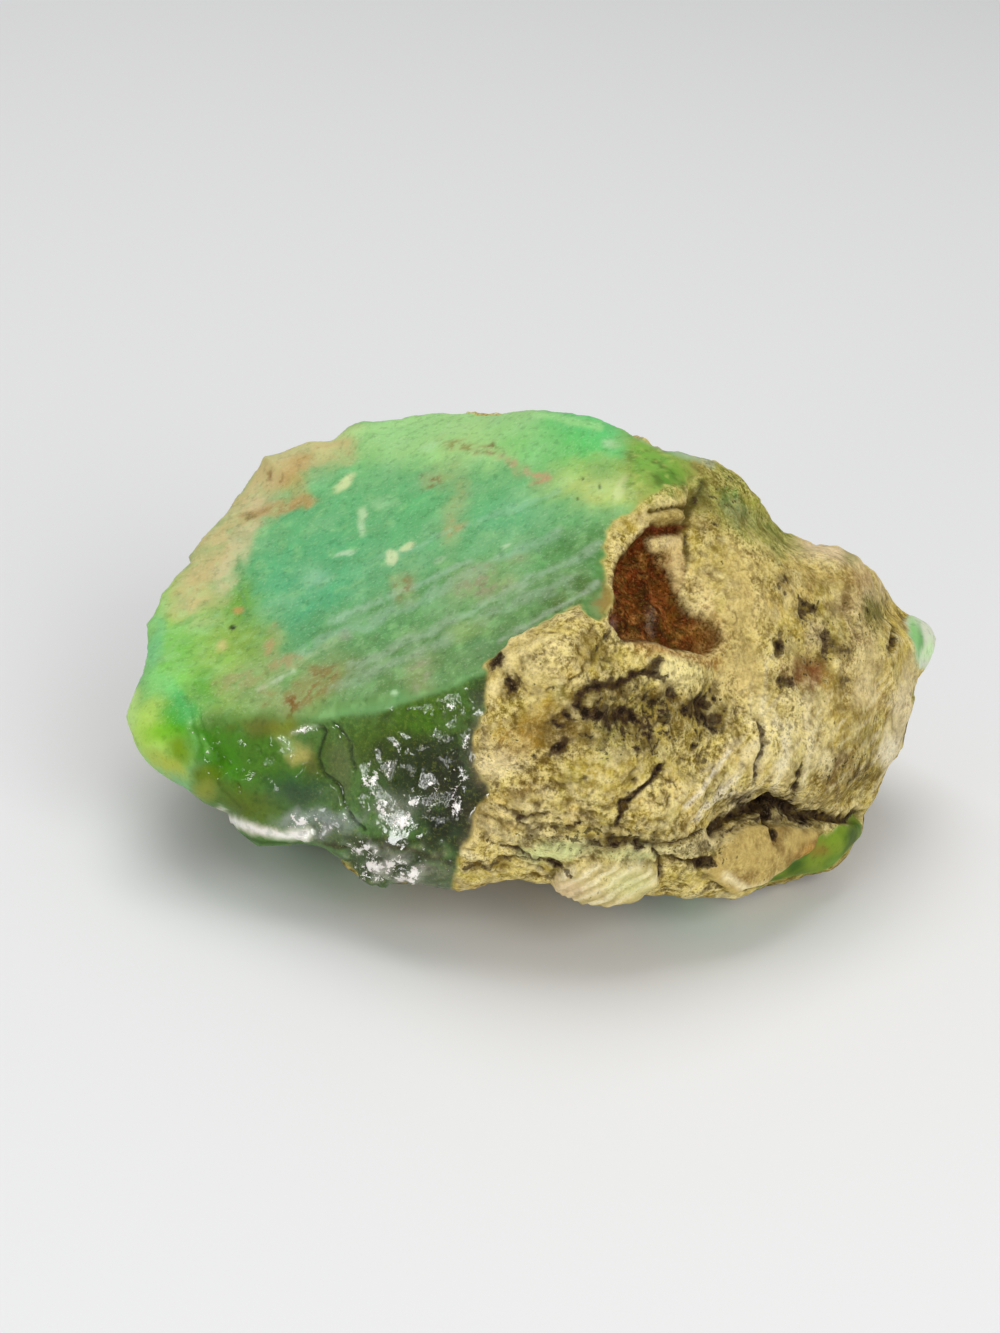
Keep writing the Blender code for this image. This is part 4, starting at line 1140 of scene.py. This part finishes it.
def stone_material():
    m = Maker("raw_chrysoprase")
    tone = m.painted("tone", "Color")
    crust, wet, sawn, chips, stained, broken, painted_highlights, dark, rust, rough = map(m.painted, PAINTED)
    grit = m.noise(3400.0, 4.0, 0.7)
    crumbs = m.noise(1500.0, 3.0, 0.6, shift=3.0)
    lumps = m.noise(620.0, 4.0, 0.65, shift=19.0)
    haze = m.noise(260.0, 4.0, 0.6, shift=7.0)
    saw_marks = m.noise(300.0, 3.0, 0.6, stretch=(1.0, 1.0, 7.0))
    glints = m.noise(3000.0, 2.0, 0.5, stretch=(1.3, 1.3, 0.8), shift=11.0)

    # where the painted highlights and reflections of the wet face show
    highlight_field = painted_highlights + 1.1 * (crumbs - 0.5) + 1.3 * (grit - 0.5)
    green_tone = m.coats(tone, [(0.40 * haze.between(0.45, 0.75), "#cfeedd")], "SOFT_LIGHT")
    green_tone = m.coats(green_tone, [(0.26 * crumbs.between(0.50, 0.72), "#3f6a48")], "MULTIPLY")
    green_tone = m.coats(green_tone, (
        (0.14 * sawn * grit.between(0.50, 0.70), "#e4f4d0"),
        (0.16 * wet * grit.between(0.52, 0.64), "#a8b23c"),
        (0.35 * wet * crumbs.between(0.50, 0.38), "#141a04"),
        # painted highlights and reflections on the wet face
        (0.88 * highlight_field.between(0.46, 0.58), "#e2dcd6"),
    ))
    green_height = saw_marks * sawn + crumbs * 0.35 + (0.5 * chips + 2.0 * broken) * glints
    body = {"Base Color": green_tone, "Normal": m.bump(0.25, 0.00012, green_height), "IOR": 1.54,
            "Subsurface Weight": 0.35, "Subsurface Radius": (0.6, 1.0, 0.7), "Subsurface Scale": 0.0022}
    cut, damp = (
        m.surface({**body, "Roughness": low + span * haze, "Specular IOR Level": specular},
                  {"subsurface_method": "RANDOM_WALK"})
        for low, span, specular in ((0.48, 0.08, 0.07), (0.06, 0.05, 0.22)))
    green = m.node("ShaderNodeMixShader", None, {0: wet, 1: cut, 2: damp})

    light = m.node("ShaderNodeRGBToBW", None, {"Color": tone}).between(0.02, 0.30)
    patchy = rough * (0.45 + haze.between(0.42, 0.58) * 0.55)
    specks = (0.5 * crumbs + 0.3 * grit + 0.15 * stained).between(0.49, 0.57)
    blackened = dark + 1.3 * (crumbs - 0.5) + 0.9 * (lumps - 0.5) + 0.5 * (grit - 0.5)
    # the grit and crumbs coats lay dark on the low points of the crust's bump and pale on its tops: grain
    # colour with painted shade and painted highlight, in the rust too
    crust_tone = m.coats(tone, (
        (0.60 * patchy * grit.between(0.51, 0.39), "#402e0a"),
        (0.50 * patchy * light * grit.between(0.50, 0.63), "#f6e296"),
        (0.50 * patchy * crumbs.between(0.48, 0.37), "#524010"),
        (0.42 * patchy * light * crumbs.between(0.51, 0.63), "#efdc8c"),
        (0.40 * rough * lumps.between(0.50, 0.36), "#644e1c"),
        (0.85 * specks, "#1c130a"),
        (0.80 * blackened.between(0.44, 0.62), "#3a2a1c"),
        (0.80 * blackened.between(0.66, 0.84), "#150d08"),
        (0.40 * dark * grit.between(0.56, 0.66), "#9a8560"),
        (0.45 * rust * crumbs.between(0.50, 0.62), "#7c3c14"),
        (0.35 * rust * grit.between(0.56, 0.66), "#bc7c40"),
        (0.60 * rust * grit.between(0.48, 0.38), "#1c0602"),
    ))
    crust_bump = m.bump(0.6, 0.00018, (grit + crumbs * 0.9) * rough)
    dry = m.surface({"Base Color": crust_tone, "Normal": crust_bump, "Roughness": 0.86 - 0.55 * wet,
                     "Specular IOR Level": 0.04})
    edge = (crust + 0.5 * (crumbs - 0.5)).between(0.40, 0.60)
    return m.finish(m.node("ShaderNodeMixShader", None, {0: edge, 1: green, 2: dry}))


stone = stone_object()
stone.data.materials.append(stone_material())
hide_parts(NODE)
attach(stone, "root")


# ---- floor, light, camera
def add_floor():
    mesh = bpy.data.meshes.new("floor")
    corners = [(x * FLOOR_HALF, y * FLOOR_HALF, 0) for x, y in ((-1, -1), (1, -1), (1, 1), (-1, 1))]
    mesh.from_pydata(corners, [], [(0, 1, 2, 3)])
    m = Maker("pale_floor")
    mesh.materials.append(m.finish(m.surface({"Base Color": rgb("#e2e2e2"), "Roughness": 0.7})))
    add_object("floor", mesh)


def add_lamp(name, place, side, power):
    """A square soft lamp facing the stone."""
    data = bpy.data.lights.new(name, "AREA")
    data.size = side
    data.energy = power
    aim = (STONE_MIDDLE - Vector(place)).to_track_quat("-Z", "Y")
    add_object(name, data).matrix_world = Matrix.Translation(place) @ aim.to_matrix().to_4x4()


def add_sky():
    world = bpy.data.worlds.new("studio")
    world.use_nodes = True
    background = world.node_tree.nodes["Background"].inputs
    background["Color"].default_value = SKY_COLOUR
    background["Strength"].default_value = SKY_STRENGTH
    bpy.context.scene.world = world


add_floor()
add_sky()
for lamp in LAMPS:
    add_lamp(*lamp)
add_camera()
bpy.context.scene.view_settings.view_transform = "Standard"
